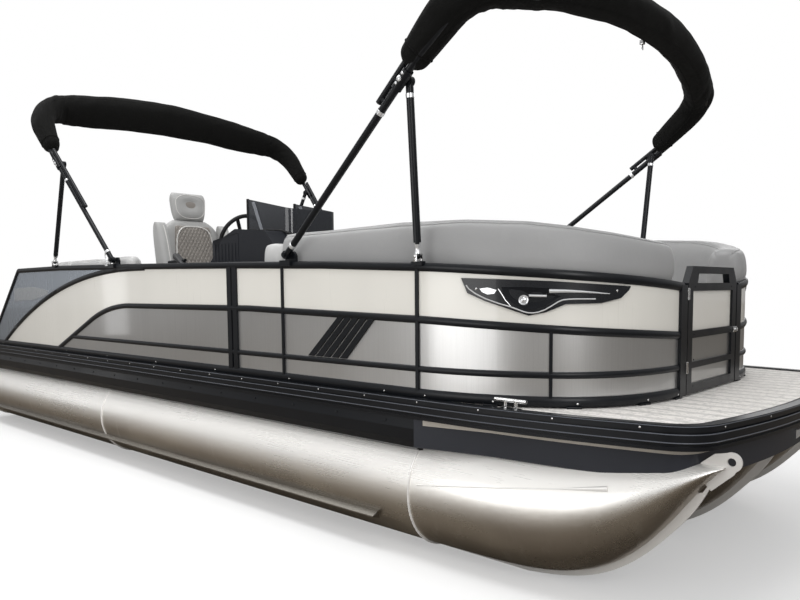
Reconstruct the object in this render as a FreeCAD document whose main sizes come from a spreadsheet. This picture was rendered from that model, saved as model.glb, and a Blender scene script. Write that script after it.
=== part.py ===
import FreeCAD, Part
import math
import os

import Sketcher
from FreeCAD import Placement, Rotation, Vector

# Pontoon boat with three tubes, a fenced deck, two folding canopy hoops and an outboard engine.
# Axes: +X towards the bow, +Y to port, +Z up. The origin is on the floor under the middle of the
# boat. Lengths along the boat are given behind the stem, the plane that the tube tips touch.

doc = FreeCAD.newDocument("PontoonBoat")

DIMENSIONS = [
    ("stem_x", 4558, "stem plane, forward of the origin"),
    ("tube_radius", 317.5, "radius of a tube, 25 inch tube"),
    ("tube_spread", 970, "centre tube axis to an outer tube axis"),
    ("tube_length", 7700, "length of a tube from its tip"),
    ("nose_length", 1440, "length of the pressed nose cone"),
    ("keel_depth", 30, "depth of the keel fin below a tube"),
    ("keel_thick", 12, "thickness of the keel fin"),
    ("tip_height", 668, "top of a tube at its tip"),
    ("eye_thick", 10, "thickness of the towing eye plate"),
    ("eye_hole", 17, "radius of the towing eye hole"),
    ("riser_top", 742, "top of the risers"),
    ("riser_foot", 150, "width of a riser at the tube"),
    ("riser_head", 90, "width of a riser at the channels"),
    ("channel_deep", 70, "depth of a cross channel"),
    ("channel_wide", 44, "flange width of a cross channel"),
    ("channel_wall", 5, "wall of a cross channel"),
    ("channel_pitch", 406, "spacing of the cross channels"),
    ("channel_count", 19, "number of cross channels"),
    ("deck_top", 838, "top of the deck"),
    ("deck_thick", 26, "thickness of the deck"),
    ("deck_half", 1270, "half width of the deck"),
    ("deck_aft", 7860, "aft edge of the deck behind the stem"),
    ("deck_front", 68, "front edge of the deck ahead of the stem"),
    ("sweep_start", 1250, "where the deck side starts to sweep in"),
    ("sweep_radius", 4600, "radius of the side sweep"),
    ("corner_radius", 200, "radius of the bow corner"),
    ("crown_radius", 4200, "radius of the bow front"),
    ("stern_radius", 120, "radius of the stern corner"),
    ("rub_thick", 25, "thickness of the rub rail"),
    ("rub_low", 742, "lower edge of the rub rail"),
    ("rub_top", 846, "upper edge of the rub rail"),
    ("skirt_low", 574, "lower edge of the side skirt"),
    ("skirt_front", 1400, "front end of the side skirt"),
    ("fence_half", 1250, "half width of the fence centreline"),
    ("fence_depth", 36, "depth of a fence rail"),
    ("top_tall", 42, "height of the top rail"),
    ("mid_tall", 38, "height of the mid rail"),
    ("low_tall", 31, "height of the lower mid rail"),
    ("bottom_tall", 47, "height of the bottom rail"),
    ("bottom_z", 869.5, "centre of the bottom rail"),
    ("low_z", 991, "centre of the lower mid rail"),
    ("mid_z", 1272, "centre of the mid rail amidships"),
    ("mid_bow_z", 1236, "centre of the mid rail where the bow turn starts"),
    ("mid_gate_z", 1147, "centre of the mid rail at the gate"),
    ("top_aft_z", 1592, "centre of the top rail at the quarter"),
    ("top_mid_z", 1545, "centre of the top rail amidships"),
    ("top_bow_z", 1494, "centre of the top rail where the bow turn starts"),
    ("top_gate_z", 1384, "centre of the top rail at the gate"),
    ("turn_start", 1388, "where the fence starts to turn across the bow"),
    ("gate_x", 428, "gate plane behind the stem"),
    ("turn_half", 400, "half width where the bow turn ends"),
    ("first_turn", 1250, "first radius of the bow turn"),
    ("panel_thick", 8, "thickness of a fence panel"),
    ("post_wide", 44, "width of a fence post"),
    ("gate_half", 355, "half width of the bow gate"),
    ("gate_low", 848, "lower edge of the gates"),
    ("quarter_top_x", 6600, "upper aft corner of the quarter panel"),
    ("quarter_foot_x", 7420, "lower aft corner of the quarter panel"),
    ("sweep_tangent_x", 4300, "where the top rail leaves for its long curve down"),
    ("top_sweep_radius", 5890, "radius of the long curve of the top rail"),
    ("mid_sweep_x", 4350, "where the mid rail starts to curve down"),
    ("mid_sweep_radius", 1900, "radius of the curve of the mid rail"),
    ("stern_fence_x", 6760, "plane of the stern fence behind the stem"),
    ("stern_fence_top", 1330, "top of the stern fence"),
    ("stern_gate_half", 290, "half width of the stern gate"),
    ("stern_gate_y", 850, "centre of the stern gate, port of the centreline"),
    ("hoop_tube", 19, "radius of a canopy hoop tube"),
    ("strut_tube", 15, "radius of the second bow that lies on a hoop leg"),
    ("strut_lift", 44, "second bow above the hoop leg"),
    ("hoop_half", 1265, "half width of a canopy hoop at its pivots"),
    ("front_pivot_x", 2403, "front hoop pivot behind the stem"),
    ("rear_pivot_x", 4589, "rear hoop pivot behind the stem"),
    ("front_pivot_z", 1590, "height of the front hoop pivots"),
    ("rear_pivot_z", 1632, "height of the rear hoop pivots"),
    ("front_knuckle", 1298, "front hoop pivot to its knuckle"),
    ("rear_knuckle", 1080, "rear hoop pivot to its knuckle"),
    ("front_spread", 1404, "half width of the front hoop at its knuckles"),
    ("rear_spread", 1365, "half width of the rear hoop at its knuckles"),
    ("front_reach", 2035, "front hoop pivot to the middle of its bow"),
    ("rear_reach", 1982, "rear hoop pivot to the middle of its bow"),
    ("brace_tube", 19, "radius of a brace tube"),
    ("console_front", 2780, "front of the console behind the stem"),
    ("console_aft", 3560, "aft face of the console behind the stem"),
    ("console_outer", 1070, "starboard side of the console, off the centreline"),
    ("console_inner", 330, "inboard side of the console, off the centreline"),
    ("console_top", 1740, "top of the console at its front"),
    ("wheel_radius", 180, "radius of the steering wheel"),
    ("wheel_x", 3660, "middle of the steering wheel behind the stem"),
    ("wheel_z", 1780, "height of the middle of the steering wheel"),
    ("chair_x", 4140, "helm chair axis behind the stem"),
    ("chair_y", 690, "helm chair axis, starboard of the centreline"),
    ("seat_high", 560, "helm seat shell above the deck"),
    ("tilt_x", 8240, "engine tilt axis behind the stem"),
    ("tilt_z", 800, "height of the engine tilt axis"),
]

sheet = doc.addObject("Spreadsheet::Sheet", "Dims")
for row, (alias, value, meaning) in enumerate(DIMENSIONS, start=1):
    sheet.set(f"A{row}", meaning)
    sheet.set(f"B{row}", str(value))
    sheet.setAlias(f"B{row}", alias)
doc.recompute()

# Canopy and engine angles in degrees above the horizontal or from hanging straight down
FRONT_RAKE = 36.0
REAR_RAKE = 49.5
ENGINE_TILT = 52.0


class Dim:
    """A length in mm together with the sheet expression that it comes from."""

    def __init__(self, value, text=None):
        self.value = float(value)
        self.text = text if text is not None else repr(float(value))

    def __add__(self, other):
        other = dim(other)
        return Dim(self.value + other.value, f"({self.text} + {other.text})")

    def __radd__(self, other):
        return dim(other) + self

    def __sub__(self, other):
        other = dim(other)
        return Dim(self.value - other.value, f"({self.text} - {other.text})")

    def __rsub__(self, other):
        return dim(other) - self

    def __mul__(self, other):
        other = dim(other)
        return Dim(self.value * other.value, f"({self.text} * {other.text})")

    __rmul__ = __mul__

    def __truediv__(self, other):
        other = dim(other)
        return Dim(self.value / other.value, f"({self.text} / {other.text})")

    def __neg__(self):
        return Dim(-self.value, f"(-{self.text})")


def dim(value):
    """Gives a plain number the same interface as a sheet length."""
    return value if isinstance(value, Dim) else Dim(value)


class Cells:
    """Reads the sheet's cells by their names."""

    def __getattr__(self, name):
        return Dim(sheet.get(name), f"Dims.{name}")


D = Cells()


def behind(distance):
    """A place along the boat, given behind the stem."""
    return D.stem_x - distance


# Builders for sketches, bodies and booleans

EXPORTS = {}


def export(label, thing):
    """Gives an object the label of its own file and notes it for export."""
    thing.Label = label
    EXPORTS[label] = thing
    return thing


def origin_plane(body, role):
    """The body's own origin plane of the given role."""
    return next(item for item in body.Origin.OriginFeatures if item.Role == role)


def new_body(label):
    body = doc.addObject("PartDesign::Body", label)
    body.Label = label
    return body


def new_sketch(body, name, role, offset=None):
    """A sketch on an origin plane, moved along that plane's normal by offset."""
    sketch = body.newObject("Sketcher::SketchObject", name)
    sketch.AttachmentSupport = [(origin_plane(body, role), "")]
    sketch.MapMode = "FlatFace"
    if offset is not None:
        sketch.AttachmentOffset = Placement(Vector(0, 0, offset.value), Rotation())
        sketch.setExpression("AttachmentOffset.Base.z", offset.text)
    return sketch


def add_polygon(sketch, points):
    """Closed outline whose every corner is bound to the sheet."""
    points = [(dim(a), dim(b)) for a, b in points]
    start = sketch.GeometryCount
    count = len(points)
    for index, (a, b) in enumerate(points):
        after = points[(index + 1) % count]
        line = Part.LineSegment(Vector(a.value, b.value, 0), Vector(after[0].value, after[1].value, 0))
        sketch.addGeometry(line, False)
    for index in range(count):
        sketch.addConstraint(
            Sketcher.Constraint("Coincident", start + index, 2, start + (index + 1) % count, 1)
        )
    for index, (a, b) in enumerate(points):
        for axis, place in (("DistanceX", a), ("DistanceY", b)):
            number = sketch.addConstraint(
                Sketcher.Constraint(axis, -1, 1, start + index, 1, place.value)
            )
            sketch.renameConstraint(number, f"{axis}_{start + index}")
            sketch.setExpression(f"Constraints.{axis}_{start + index}", place.text)


def pad(body, sketch, name, length, both=False, flip=False):
    feature = body.newObject("PartDesign::Pad", name)
    feature.Profile = sketch
    length = dim(length)
    feature.Length = length.value
    feature.setExpression("Length", length.text)
    if both:
        feature.SideType = "Symmetric"
    feature.Reversed = flip
    return feature


def prism(label, role, outlines, length, both=False, flip=False, offset=None):
    """A body padded from one or more closed outlines, the later ones being windows."""
    body = new_body(label)
    sketch = new_sketch(body, label + "_sketch", role, offset)
    for outline in outlines:
        add_polygon(sketch, outline)
    pad(body, sketch, label + "_pad", length, both, flip)
    return body


def edge_numbers(shape, wanted):
    """Names of the edges that a test picks."""
    return [f"Edge{i}" for i, edge in enumerate(shape.Edges, start=1) if wanted(edge)]


def round_edges(body, name, radius, wanted):
    """A fillet on the edges of the body's tip that a test picks."""
    doc.recompute()
    feature = body.newObject("PartDesign::Fillet", name)
    tip = [item for item in body.Group if item.isDerivedFrom("PartDesign::Feature") and item != feature][-1]
    feature.Base = (tip, edge_numbers(tip.Shape, wanted))
    radius = dim(radius)
    feature.Radius = radius.value
    feature.setExpression("Radius", radius.text)
    return feature


def along(edge, direction):
    """True for a straight edge that runs along a direction."""
    if not isinstance(edge.Curve, (Part.Line, Part.LineSegment)):
        return False
    return abs(edge.tangentAt(edge.FirstParameter).dot(direction)) > 0.999


def cylinder(label, radius, height, base, direction):
    """A cylinder bound to the sheet, from a base point along a direction."""
    thing = doc.addObject("Part::Cylinder", label)
    radius, height = dim(radius), dim(height)
    thing.setExpression("Radius", radius.text)
    thing.setExpression("Height", height.text)
    base = [dim(value) for value in base]
    thing.Placement = Placement(
        Vector(*[value.value for value in base]), Rotation(Vector(0, 0, 1), Vector(*direction))
    )
    for axis, value in zip("xyz", base):
        thing.setExpression(f"Placement.Base.{axis}", value.text)
    return thing


def box(label, low, high):
    """A box bound to the sheet, from its lowest to its highest corner."""
    thing = doc.addObject("Part::Box", label)
    low = [dim(value) for value in low]
    high = [dim(value) for value in high]
    for name, a, b in zip(("Length", "Width", "Height"), low, high):
        thing.setExpression(name, (b - a).text)
    thing.Placement = Placement(Vector(*[value.value for value in low]), Rotation())
    for axis, value in zip("xyz", low):
        thing.setExpression(f"Placement.Base.{axis}", value.text)
    return thing


def mirror(label, source):
    """The same piece on the other side of the boat."""
    thing = doc.addObject("Part::Mirroring", label)
    thing.Source = source
    thing.Normal = Vector(0, 1, 0)
    return thing


def group(label, things):
    thing = doc.addObject("Part::Compound", label)
    thing.Links = things
    return thing


def both_sides(label, source):
    """One node for a piece and its mirror image."""
    return group(label, [source, mirror(label + "_mirror", source)])


def fuse(label, things):
    thing = doc.addObject("Part::MultiFuse", label)
    thing.Shapes = things
    return thing


def cut(label, base, tool):
    thing = doc.addObject("Part::Cut", label)
    thing.Base = base
    thing.Tool = tool
    return thing


def feature(label, shape, placement=None):
    """A free shape worked out from the sheet's values."""
    thing = doc.addObject("Part::Feature", label)
    thing.Shape = shape
    if placement is not None:
        thing.Placement = placement
    return thing


# Shapes that run along a path

def wire(points, closed=False):
    points = [Vector(*point) for point in points]
    if closed:
        points.append(points[0])
    return Part.makePolygon(points)


def smooth_wire(points):
    curve = Part.BSplineCurve()
    curve.interpolate([Vector(*point) for point in points])
    return Part.Wire([curve.toShape()])


def rounded_path(points, radii):
    """Straight runs joined by tangent arcs of the given radii at the inner points."""
    points = [Vector(*point) for point in points]
    edges = []
    start = points[0]
    for index, radius in enumerate(radii, start=1):
        corner, after = points[index], points[index + 1]
        inward = (corner - start).normalize()
        outward = (after - corner).normalize()
        turn = inward.getAngle(outward)
        if turn < 1e-6 or radius <= 0:
            edges.append(Part.LineSegment(start, corner).toShape())
            start = corner
            continue
        trim = radius * math.tan(turn / 2)
        first, last = corner - inward * trim, corner + outward * trim
        bisector = (outward - inward).normalize()
        centre = corner + bisector * (radius / math.cos(turn / 2))
        middle = centre - bisector * radius
        edges.append(Part.LineSegment(start, first).toShape())
        edges.append(Part.Arc(first, middle, last).toShape())
        start = last
    edges.append(Part.LineSegment(start, points[-1]).toShape())
    return Part.Wire(edges)


def sweep(path, profile, normal):
    """A profile swept along a path with its own side held to a normal."""
    shell = Part.BRepOffsetAPI.MakePipeShell(path)
    shell.setBiNormalMode(normal)
    shell.setTransitionMode(1)
    shell.add(profile, False, False)
    shell.build()
    shell.makeSolid()
    return shell.shape()


def path_frame(path, normal):
    """Start point of a path with the side and up directions across it."""
    edge = path.OrderedEdges[0]
    start = path.OrderedVertexes[0].Point
    low = edge.FirstParameter
    if (edge.valueAt(low) - start).Length > 1e-6:
        tangent = edge.tangentAt(edge.LastParameter) * -1
    else:
        tangent = edge.tangentAt(low)
    side = normal.cross(tangent).normalize()
    up = tangent.cross(side).normalize()
    return start, side, up


def rail_profile(path, depth, tall, outward, normal):
    """Rail section with a flat inner face and a bowed outer face."""
    start, side, up = path_frame(path, normal)
    if abs(up.z) < abs(side.z):
        side, up = up, side
    if up.z < 0:
        up = up * -1
    if side.dot(outward) < 0:
        side = side * -1
    half_d, half_t = depth / 2, tall / 2
    bow = depth * 0.22
    corners = [
        start - side * half_d - up * half_t,
        start + side * (half_d - bow) - up * half_t,
        start + side * (half_d - bow) + up * half_t,
        start - side * half_d + up * half_t,
    ]
    outer = Part.Arc(corners[1], start + side * half_d, corners[2]).toShape()
    edges = [
        Part.LineSegment(corners[0], corners[1]).toShape(),
        outer,
        Part.LineSegment(corners[2], corners[3]).toShape(),
        Part.LineSegment(corners[3], corners[0]).toShape(),
    ]
    return Part.Wire(edges)


def rail(path, depth, tall, outward, normal):
    return sweep(path, rail_profile(path, depth, tall, outward, normal), normal)


def tube_along(path, radius):
    """Round bar along a path."""
    edge = path.OrderedEdges[0]
    start = path.OrderedVertexes[0].Point
    if (edge.valueAt(edge.FirstParameter) - start).Length < 1e-6:
        tangent = edge.tangentAt(edge.FirstParameter)
    else:
        tangent = edge.tangentAt(edge.LastParameter) * -1
    ring = Part.Wire([Part.makeCircle(radius, start, tangent)])
    shell = Part.BRepOffsetAPI.MakePipeShell(path)
    shell.setTransitionMode(1)
    shell.add(ring, False, False)
    shell.build()
    shell.makeSolid()
    return shell.shape()


def joined(shapes):
    """One solid from shapes that overlap or touch."""
    result = shapes[0].fuse(shapes[1:]) if len(shapes) > 1 else shapes[0]
    return result.removeSplitter()


def on_port(shape):
    """A shape mirrored to the port side."""
    return shape.mirror(Vector(0, 0, 0), Vector(0, 1, 0))


# Tubes: a round body and a pressed nose with its seam in the keel plane

NOSE_SHARES = [1.02, 0.93, 0.85, 0.76, 0.66, 0.56, 0.47, 0.39, 0.32, 0.25, 0.19, 0.14, 0.10, 0.065, 0.035, 0.012]


NOSE_STEP = 0.8


def nose_fall(share):
    """Depth of the nose as a share of the tube, at a share of the nose behind its tip."""
    return (1 - (1 - min(share, 1)) ** 5) ** 1.6


def nose_width(share):
    """Width of the nose as a share of the tube, at a share of the nose behind its tip."""
    return (1 - (1 - min(share, 1)) ** 3) ** 0.68


def nose_half(distance, bottom, top, half_width, sharp):
    """Half section of the nose, from the keel seam round to the top seam."""
    centre = (bottom + top) / 2
    reach = (top - bottom) / 2
    steps = 8
    points = []
    for index in range(steps + 1):
        angle = math.pi * index / steps
        width = half_width * math.sin(angle)
        drop = reach * math.cos(angle)
        pinch = 1 - sharp * math.cos(angle / 2) ** 6
        points.append(Vector(distance, -width * pinch, centre - drop))
    curve = Part.BSplineCurve()
    curve.interpolate(points)
    return curve.toShape()


def nose_shape(across):
    """Loft through the nose stations, with its flat end on the round tube."""
    sections = []
    low = D.keel_depth.value
    high = low + 2 * D.tube_radius.value
    for share in NOSE_SHARES:
        distance = behind(share * D.nose_length.value).value
        top = high - NOSE_STEP + (D.tip_height.value - high) * max(1 - share, 0)
        bottom = high - nose_fall(share) * (high - low) + NOSE_STEP
        half = (D.tube_radius.value - NOSE_STEP) * nose_width(share)
        sharp = 0.35 * max(1 - share, 0)
        starboard = nose_half(distance, bottom, top, half, sharp)
        port = starboard.mirror(Vector(0, 0, 0), Vector(0, 1, 0))
        sections.append(Part.Wire(Part.__sortEdges__([starboard, port])))
    shape = Part.makeLoft(sections, True, False)
    shape.translate(Vector(0, across, 0))
    return shape


def tube_offset(name):
    return {"starboard": -D.tube_spread, "centre": dim(0), "port": D.tube_spread}[name]


TUBE_NAMES = ["starboard", "centre", "port"]
tubes = {}
for name in TUBE_NAMES:
    across = tube_offset(name)
    barrel = cylinder(
        f"barrel_{name}",
        D.tube_radius,
        D.tube_length - D.nose_length,
        (behind(D.tube_length), across, D.keel_depth + D.tube_radius),
        (1, 0, 0),
    )
    nose = feature(f"nose_{name}", nose_shape(across.value))
    tubes[name] = export(f"tube_{name}", fuse(f"tube_{name}", [barrel, nose]))
doc.recompute()

# Keel fins: a flat bar on edge below each tube that follows the nose up to the towing eye

NOSE_CURVE = [
    # distance behind the stem and height of the fin's outer edge
    (930, 0),
    (760, 24),
    (600, 66),
    (450, 142),
    (325, 243),
    (225, 350),
    (140, 455),
    (80, 560),
    (42, 650),
]


def keel_fin(across):
    outer = Part.BSplineCurve()
    outer.interpolate([Vector(behind(s).value, 0, z) for s, z in NOSE_CURVE])
    aft = behind(D.tube_length).value
    start = Vector(behind(NOSE_CURVE[0][0]).value, 0, 0)
    last = Vector(behind(NOSE_CURVE[-1][0]).value, 0, NOSE_CURVE[-1][1])
    centre = D.keel_depth.value + D.tube_radius.value
    edges = [
        Part.LineSegment(Vector(aft, 0, 0), start).toShape(),
        outer.toShape(),
        Part.LineSegment(last, Vector(last.x - 60, 0, centre + 200)).toShape(),
        Part.LineSegment(
            Vector(last.x - 60, 0, centre + 200), Vector(start.x, 0, centre)
        ).toShape(),
        Part.LineSegment(Vector(start.x, 0, centre), Vector(aft, 0, centre)).toShape(),
        Part.LineSegment(Vector(aft, 0, centre), Vector(aft, 0, 0)).toShape(),
    ]
    face = Part.Face(Part.Wire(edges))
    half = D.keel_thick.value / 2
    face.translate(Vector(0, across - half, 0))
    return face.extrude(Vector(0, 2 * half, 0))


def eye_plate(across):
    """Towing eye plate on the tip of a tube."""
    half = D.eye_thick.value / 2
    lug = Part.makeCylinder(40, 2 * half, Vector(behind(-6).value, across - half, 690), Vector(0, 1, 0))
    foot = wire(
        [
            (behind(-44).value, across - half, 690),
            (behind(-16).value, across - half, 640),
            (behind(70).value, across - half, 560),
            (behind(150).value, across - half, 640),
            (behind(60).value, across - half, 715),
            (behind(-6).value, across - half, 729),
        ],
        True,
    )
    web = Part.Face(foot).extrude(Vector(0, 2 * half, 0))
    hole = Part.makeCylinder(
        D.eye_hole.value, 4 * half, Vector(behind(-6).value, across - 2 * half, 690), Vector(0, 1, 0)
    )
    return joined([lug, web]).cut(hole)


fins = []
for name in TUBE_NAMES:
    across = tube_offset(name).value
    blank = joined([keel_fin(across), eye_plate(across)])
    fins.append(cut(f"fin_{name}", feature(f"fin_blank_{name}", blank), tubes[name]))
export("keel_fins", group("keel_fins", fins))

# Lifting strakes: folded angles welded along the flanks of the tubes

STRAKE_HEIGHT = 250
strakes = []
for name, sides in (("starboard", (-1, 1)), ("centre", (-1, 1)), ("port", (-1, 1))):
    for side in sides:
        across = tube_offset(name)
        angle = math.radians(28)
        radius = D.tube_radius.value
        root_y = across.value + side * radius * math.cos(angle) * 0.97
        root_z = D.keel_depth.value + radius - radius * math.sin(angle)
        tip_y = across.value + side * (radius * math.cos(angle) + 42)
        outline = [
            (root_y, root_z + 14),
            (tip_y, root_z - 12),
            (tip_y, root_z - 18),
            (root_y, root_z - 34),
        ]
        blank = prism(
            f"strake_blank_{name}_{'out' if side * across.value >= 0 else 'in'}{side + 1}",
            "YZ_Plane",
            [outline],
            D.tube_length - D.nose_length - 500,
            offset=behind(D.tube_length - 250),
        )
        strakes.append(cut(blank.Name + "_seated", blank, tubes[name]))
export("lifting_strakes", group("lifting_strakes", strakes))

# Risers: folded saddles between the tubes and the cross channels

risers = []
for name in TUBE_NAMES:
    across = tube_offset(name)
    base = D.keel_depth + 2 * D.tube_radius - 40
    outline = [
        (across - D.riser_foot / 2, base),
        (across + D.riser_foot / 2, base),
        (across + D.riser_head / 2, D.riser_top),
        (across - D.riser_head / 2, D.riser_top),
    ]
    blank = prism(
        f"riser_blank_{name}",
        "YZ_Plane",
        [outline],
        D.tube_length - 260,
        offset=behind(D.tube_length - 40),
    )
    risers.append(cut(f"riser_{name}", blank, tubes[name]))
export("risers", group("risers", risers))

# Cross channels under the deck

CHANNEL_REACH = 1232


def channel(index):
    """One cross channel, open towards the stern."""
    place = behind(D.tube_length - 60) + index * D.channel_pitch
    top = D.riser_top + D.channel_deep
    wide, wall = D.channel_wide, D.channel_wall
    outline = [
        (place, D.riser_top),
        (place + wide, D.riser_top),
        (place + wide, top),
        (place, top),
        (place, top - wall),
        (place + wide - wall, top - wall),
        (place + wide - wall, D.riser_top + wall),
        (place, D.riser_top + wall),
    ]
    return prism(f"channel_{index}", "XZ_Plane", [outline], 2 * CHANNEL_REACH, both=True)


channels = [channel(index) for index in range(int(D.channel_count.value) - 1)]
export("cross_channels", group("cross_channels", channels))


# Deck outline: straight sides, a long sweep in, a bow corner and a crowned front

def solve_outline(grow):
    """Angles where the sweep ends and where the crowned front starts, for a grown outline."""
    side = D.deck_half.value + grow
    sweep_r = D.sweep_radius.value + grow
    corner_r = D.corner_radius.value + grow
    crown_r = D.crown_radius.value + grow
    front = -D.deck_front.value - grow
    start = D.sweep_start.value

    def miss(a, b):
        x = -start + sweep_r * math.sin(a) + corner_r * (math.cos(b) - math.sin(a))
        y = -side + sweep_r * (1 - math.cos(a)) + corner_r * (math.cos(a) - math.sin(b))
        return (
            x - (-front - crown_r + crown_r * math.cos(b)),
            y + crown_r * math.sin(b),
        )

    a, b = 0.22, 0.22
    step = 1e-6
    for _ in range(40):
        ex, ey = miss(a, b)
        axx, axy = [(p - q) / step for p, q in zip(miss(a + step, b), (ex, ey))]
        bxx, bxy = [(p - q) / step for p, q in zip(miss(a, b + step), (ex, ey))]
        det = axx * bxy - bxx * axy
        a -= (ex * bxy - ey * bxx) / det
        b -= (axx * ey - axy * ex) / det
    return a, b


def deck_wire(grow, height):
    """Deck outline moved outwards by grow, as lines and tangent arcs."""
    a, b = solve_outline(grow)
    side = D.deck_half.value + grow
    sweep_r = D.sweep_radius.value + grow
    corner_r = D.corner_radius.value + grow
    front = behind(-D.deck_front).value + grow
    stern = behind(D.deck_aft).value - grow
    stern_r = D.stern_radius.value + grow
    start = behind(D.sweep_start).value

    def point(x, y):
        return Vector(x, y, height)

    sweep_c = (start, -side + sweep_r)

    def on_sweep(angle):
        return (sweep_c[0] + sweep_r * math.sin(angle), sweep_c[1] - sweep_r * math.cos(angle))

    end = on_sweep(a)
    corner_c = (end[0] - corner_r * math.sin(a), end[1] + corner_r * math.cos(a))

    def on_corner(angle):
        return (corner_c[0] + corner_r * math.sin(angle), corner_c[1] - corner_r * math.cos(angle))

    half_pi = math.pi / 2
    last = on_corner(half_pi - b)
    turn = stern_r * (1 - math.sqrt(0.5))
    half = [
        Part.Arc(
            point(stern, -side + stern_r),
            point(stern + turn, -side + turn),
            point(stern + stern_r, -side),
        ),
        Part.LineSegment(point(stern + stern_r, -side), point(start, -side)),
        Part.Arc(point(start, -side), point(*on_sweep(a / 2)), point(*end)),
        Part.Arc(point(*end), point(*on_corner((a + half_pi - b) / 2)), point(*last)),
    ]
    starboard = [item.toShape() for item in half]
    port = [shape.mirror(Vector(0, 0, 0), Vector(0, 1, 0)) for shape in starboard]
    crown = Part.Arc(point(*last), point(front, 0), point(last[0], -last[1])).toShape()
    stern_edge = Part.LineSegment(
        point(stern, side - stern_r), point(stern, -side + stern_r)
    ).toShape()
    edges = starboard + [crown] + port + [stern_edge]
    return Part.Wire(Part.__sortEdges__(edges))


def deck_slab(grow, low, high):
    return Part.Face(deck_wire(grow, low)).extrude(Vector(0, 0, high - low))


deck_low = D.deck_top.value - D.deck_thick.value
export("deck", feature("deck", deck_slab(0, deck_low, D.deck_top.value)))

# Rub rail: bands of different reach round the deck edge, which leave two grooves

RUB_BANDS = [
    # lower and upper edge as shares of the height, and reach as a share of the thickness
    (0.00, 0.16, 0.80),
    (0.16, 0.30, 0.45),
    (0.30, 0.62, 1.00),
    (0.62, 0.74, 0.55),
    (0.74, 1.00, 0.90),
]
rub_height = D.rub_top.value - D.rub_low.value
bands = []
for low_share, high_share, reach in RUB_BANDS:
    low = D.rub_low.value + low_share * rub_height
    high = D.rub_low.value + high_share * rub_height
    band = deck_slab(reach * D.rub_thick.value, low, high)
    bands.append(band.cut(deck_slab(0, low - 1, high + 1)))
lip = deck_slab(4, D.deck_top.value, D.rub_top.value).cut(
    deck_slab(-22, D.deck_top.value - 1, D.rub_top.value + 1)
)
export("rub_rail", feature("rub_rail", joined(bands + [lip])))

# Side skirts: bull nosed covers from the rub rail down over the outer tubes

SKIRT_OUTLINE = [
    # outboard of the centreline and height
    (1276, 742),
    (1284, 690),
    (1280, 630),
    (1266, 592),
    (1244, 576),
    (1216, 572),
    (1216, 580),
    (1238, 588),
    (1256, 602),
    (1268, 636),
    (1272, 690),
    (1264, 742),
]
skirt = prism(
    "skirt_starboard",
    "YZ_Plane",
    [[(-y, z) for y, z in SKIRT_OUTLINE]],
    D.deck_aft - D.skirt_front - 60,
    offset=behind(D.deck_aft - 60),
)
export("side_skirts", both_sides("side_skirts", skirt))

# Bow fascia: a dark band round the bow under the deck edge, set back behind the rub rail

FASCIA_INSET = 70
fascia_low, fascia_high = D.riser_top.value - 92, D.riser_top.value - 2
fascia_band = deck_slab(-FASCIA_INSET, fascia_low, fascia_high).cut(
    deck_slab(-FASCIA_INSET - 10, fascia_low - 1, fascia_high + 1)
)
fascia_band = fascia_band.common(
    Part.makeBox(1250, 3000, 400, Vector(behind(1330).value, -1500, 500))
)
for name in TUBE_NAMES:
    fascia_band = fascia_band.cut(tubes[name].Shape)
    fascia_band = fascia_band.cut(
        Part.makeBox(400, 26, 400, Vector(behind(250).value, tube_offset(name).value - 13, 400))
    )
export("bow_fascia", feature("bow_fascia", fascia_band))


# Fence: rails with a bowed outer face, straight along the sides and turned across the bow

def turn_radii():
    """Second and third radius of the bow turn, from where the turn has to end."""
    first = D.first_turn.value
    along_x = D.turn_start.value - D.gate_x.value
    along_y = D.fence_half.value - D.turn_half.value
    s1, s2 = math.sin(TURN_ANGLES[0]), math.sin(TURN_ANGLES[1])
    c1, c2 = math.cos(TURN_ANGLES[0]), math.cos(TURN_ANGLES[1])
    right_x = along_x - first * s1
    right_y = along_y - first * (1 - c1)
    a, b = s2 - s1, 1 - s2
    c, d = c1 - c2, c2
    det = a * d - b * c
    return (right_x * d - b * right_y) / det, (a * right_y - c * right_x) / det


TURN_ANGLES = [math.radians(30), math.radians(70), math.radians(90)]


def bow_turn(inward):
    """Centre, radius, start and end angle of the three arcs of the bow turn, moved inward."""
    second, third = turn_radii()
    x, y = behind(D.turn_start).value, -D.fence_half.value
    arcs = []
    start = 0.0
    for radius, end in zip((D.first_turn.value, second, third), TURN_ANGLES):
        cx, cy = x - radius * math.sin(start), y + radius * math.cos(start)
        arcs.append((cx, cy, radius - inward, start, end))
        x, y = cx + radius * math.sin(end), cy - radius * math.cos(end)
        start = end
    return arcs


def turn_point(arc, angle, height):
    cx, cy, radius = arc[:3]
    return Vector(cx + radius * math.sin(angle), cy - radius * math.cos(angle), height)


def turn_edges(inward, height):
    edges = []
    for arc in bow_turn(inward):
        start, end = arc[3], arc[4]
        edges.append(
            Part.Arc(
                turn_point(arc, start, height),
                turn_point(arc, (start + end) / 2, height),
                turn_point(arc, end, height),
            ).toShape()
        )
    return edges


def turn_length():
    return sum(arc[2] * (arc[4] - arc[3]) for arc in bow_turn(0))


def turn_place(share, inward=0.0):
    """Point and heading of the bow turn at a share of its length."""
    remaining = share * turn_length()
    for number, arc in enumerate(bow_turn(0)):
        run = arc[2] * (arc[4] - arc[3])
        if remaining <= run + 1e-9 or number == 2:
            angle = arc[3] + remaining / arc[2]
            return turn_point(bow_turn(inward)[number], angle, 0), angle
        remaining -= run


BOW_END_Y = -(D.gate_half.value + 52)


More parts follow.
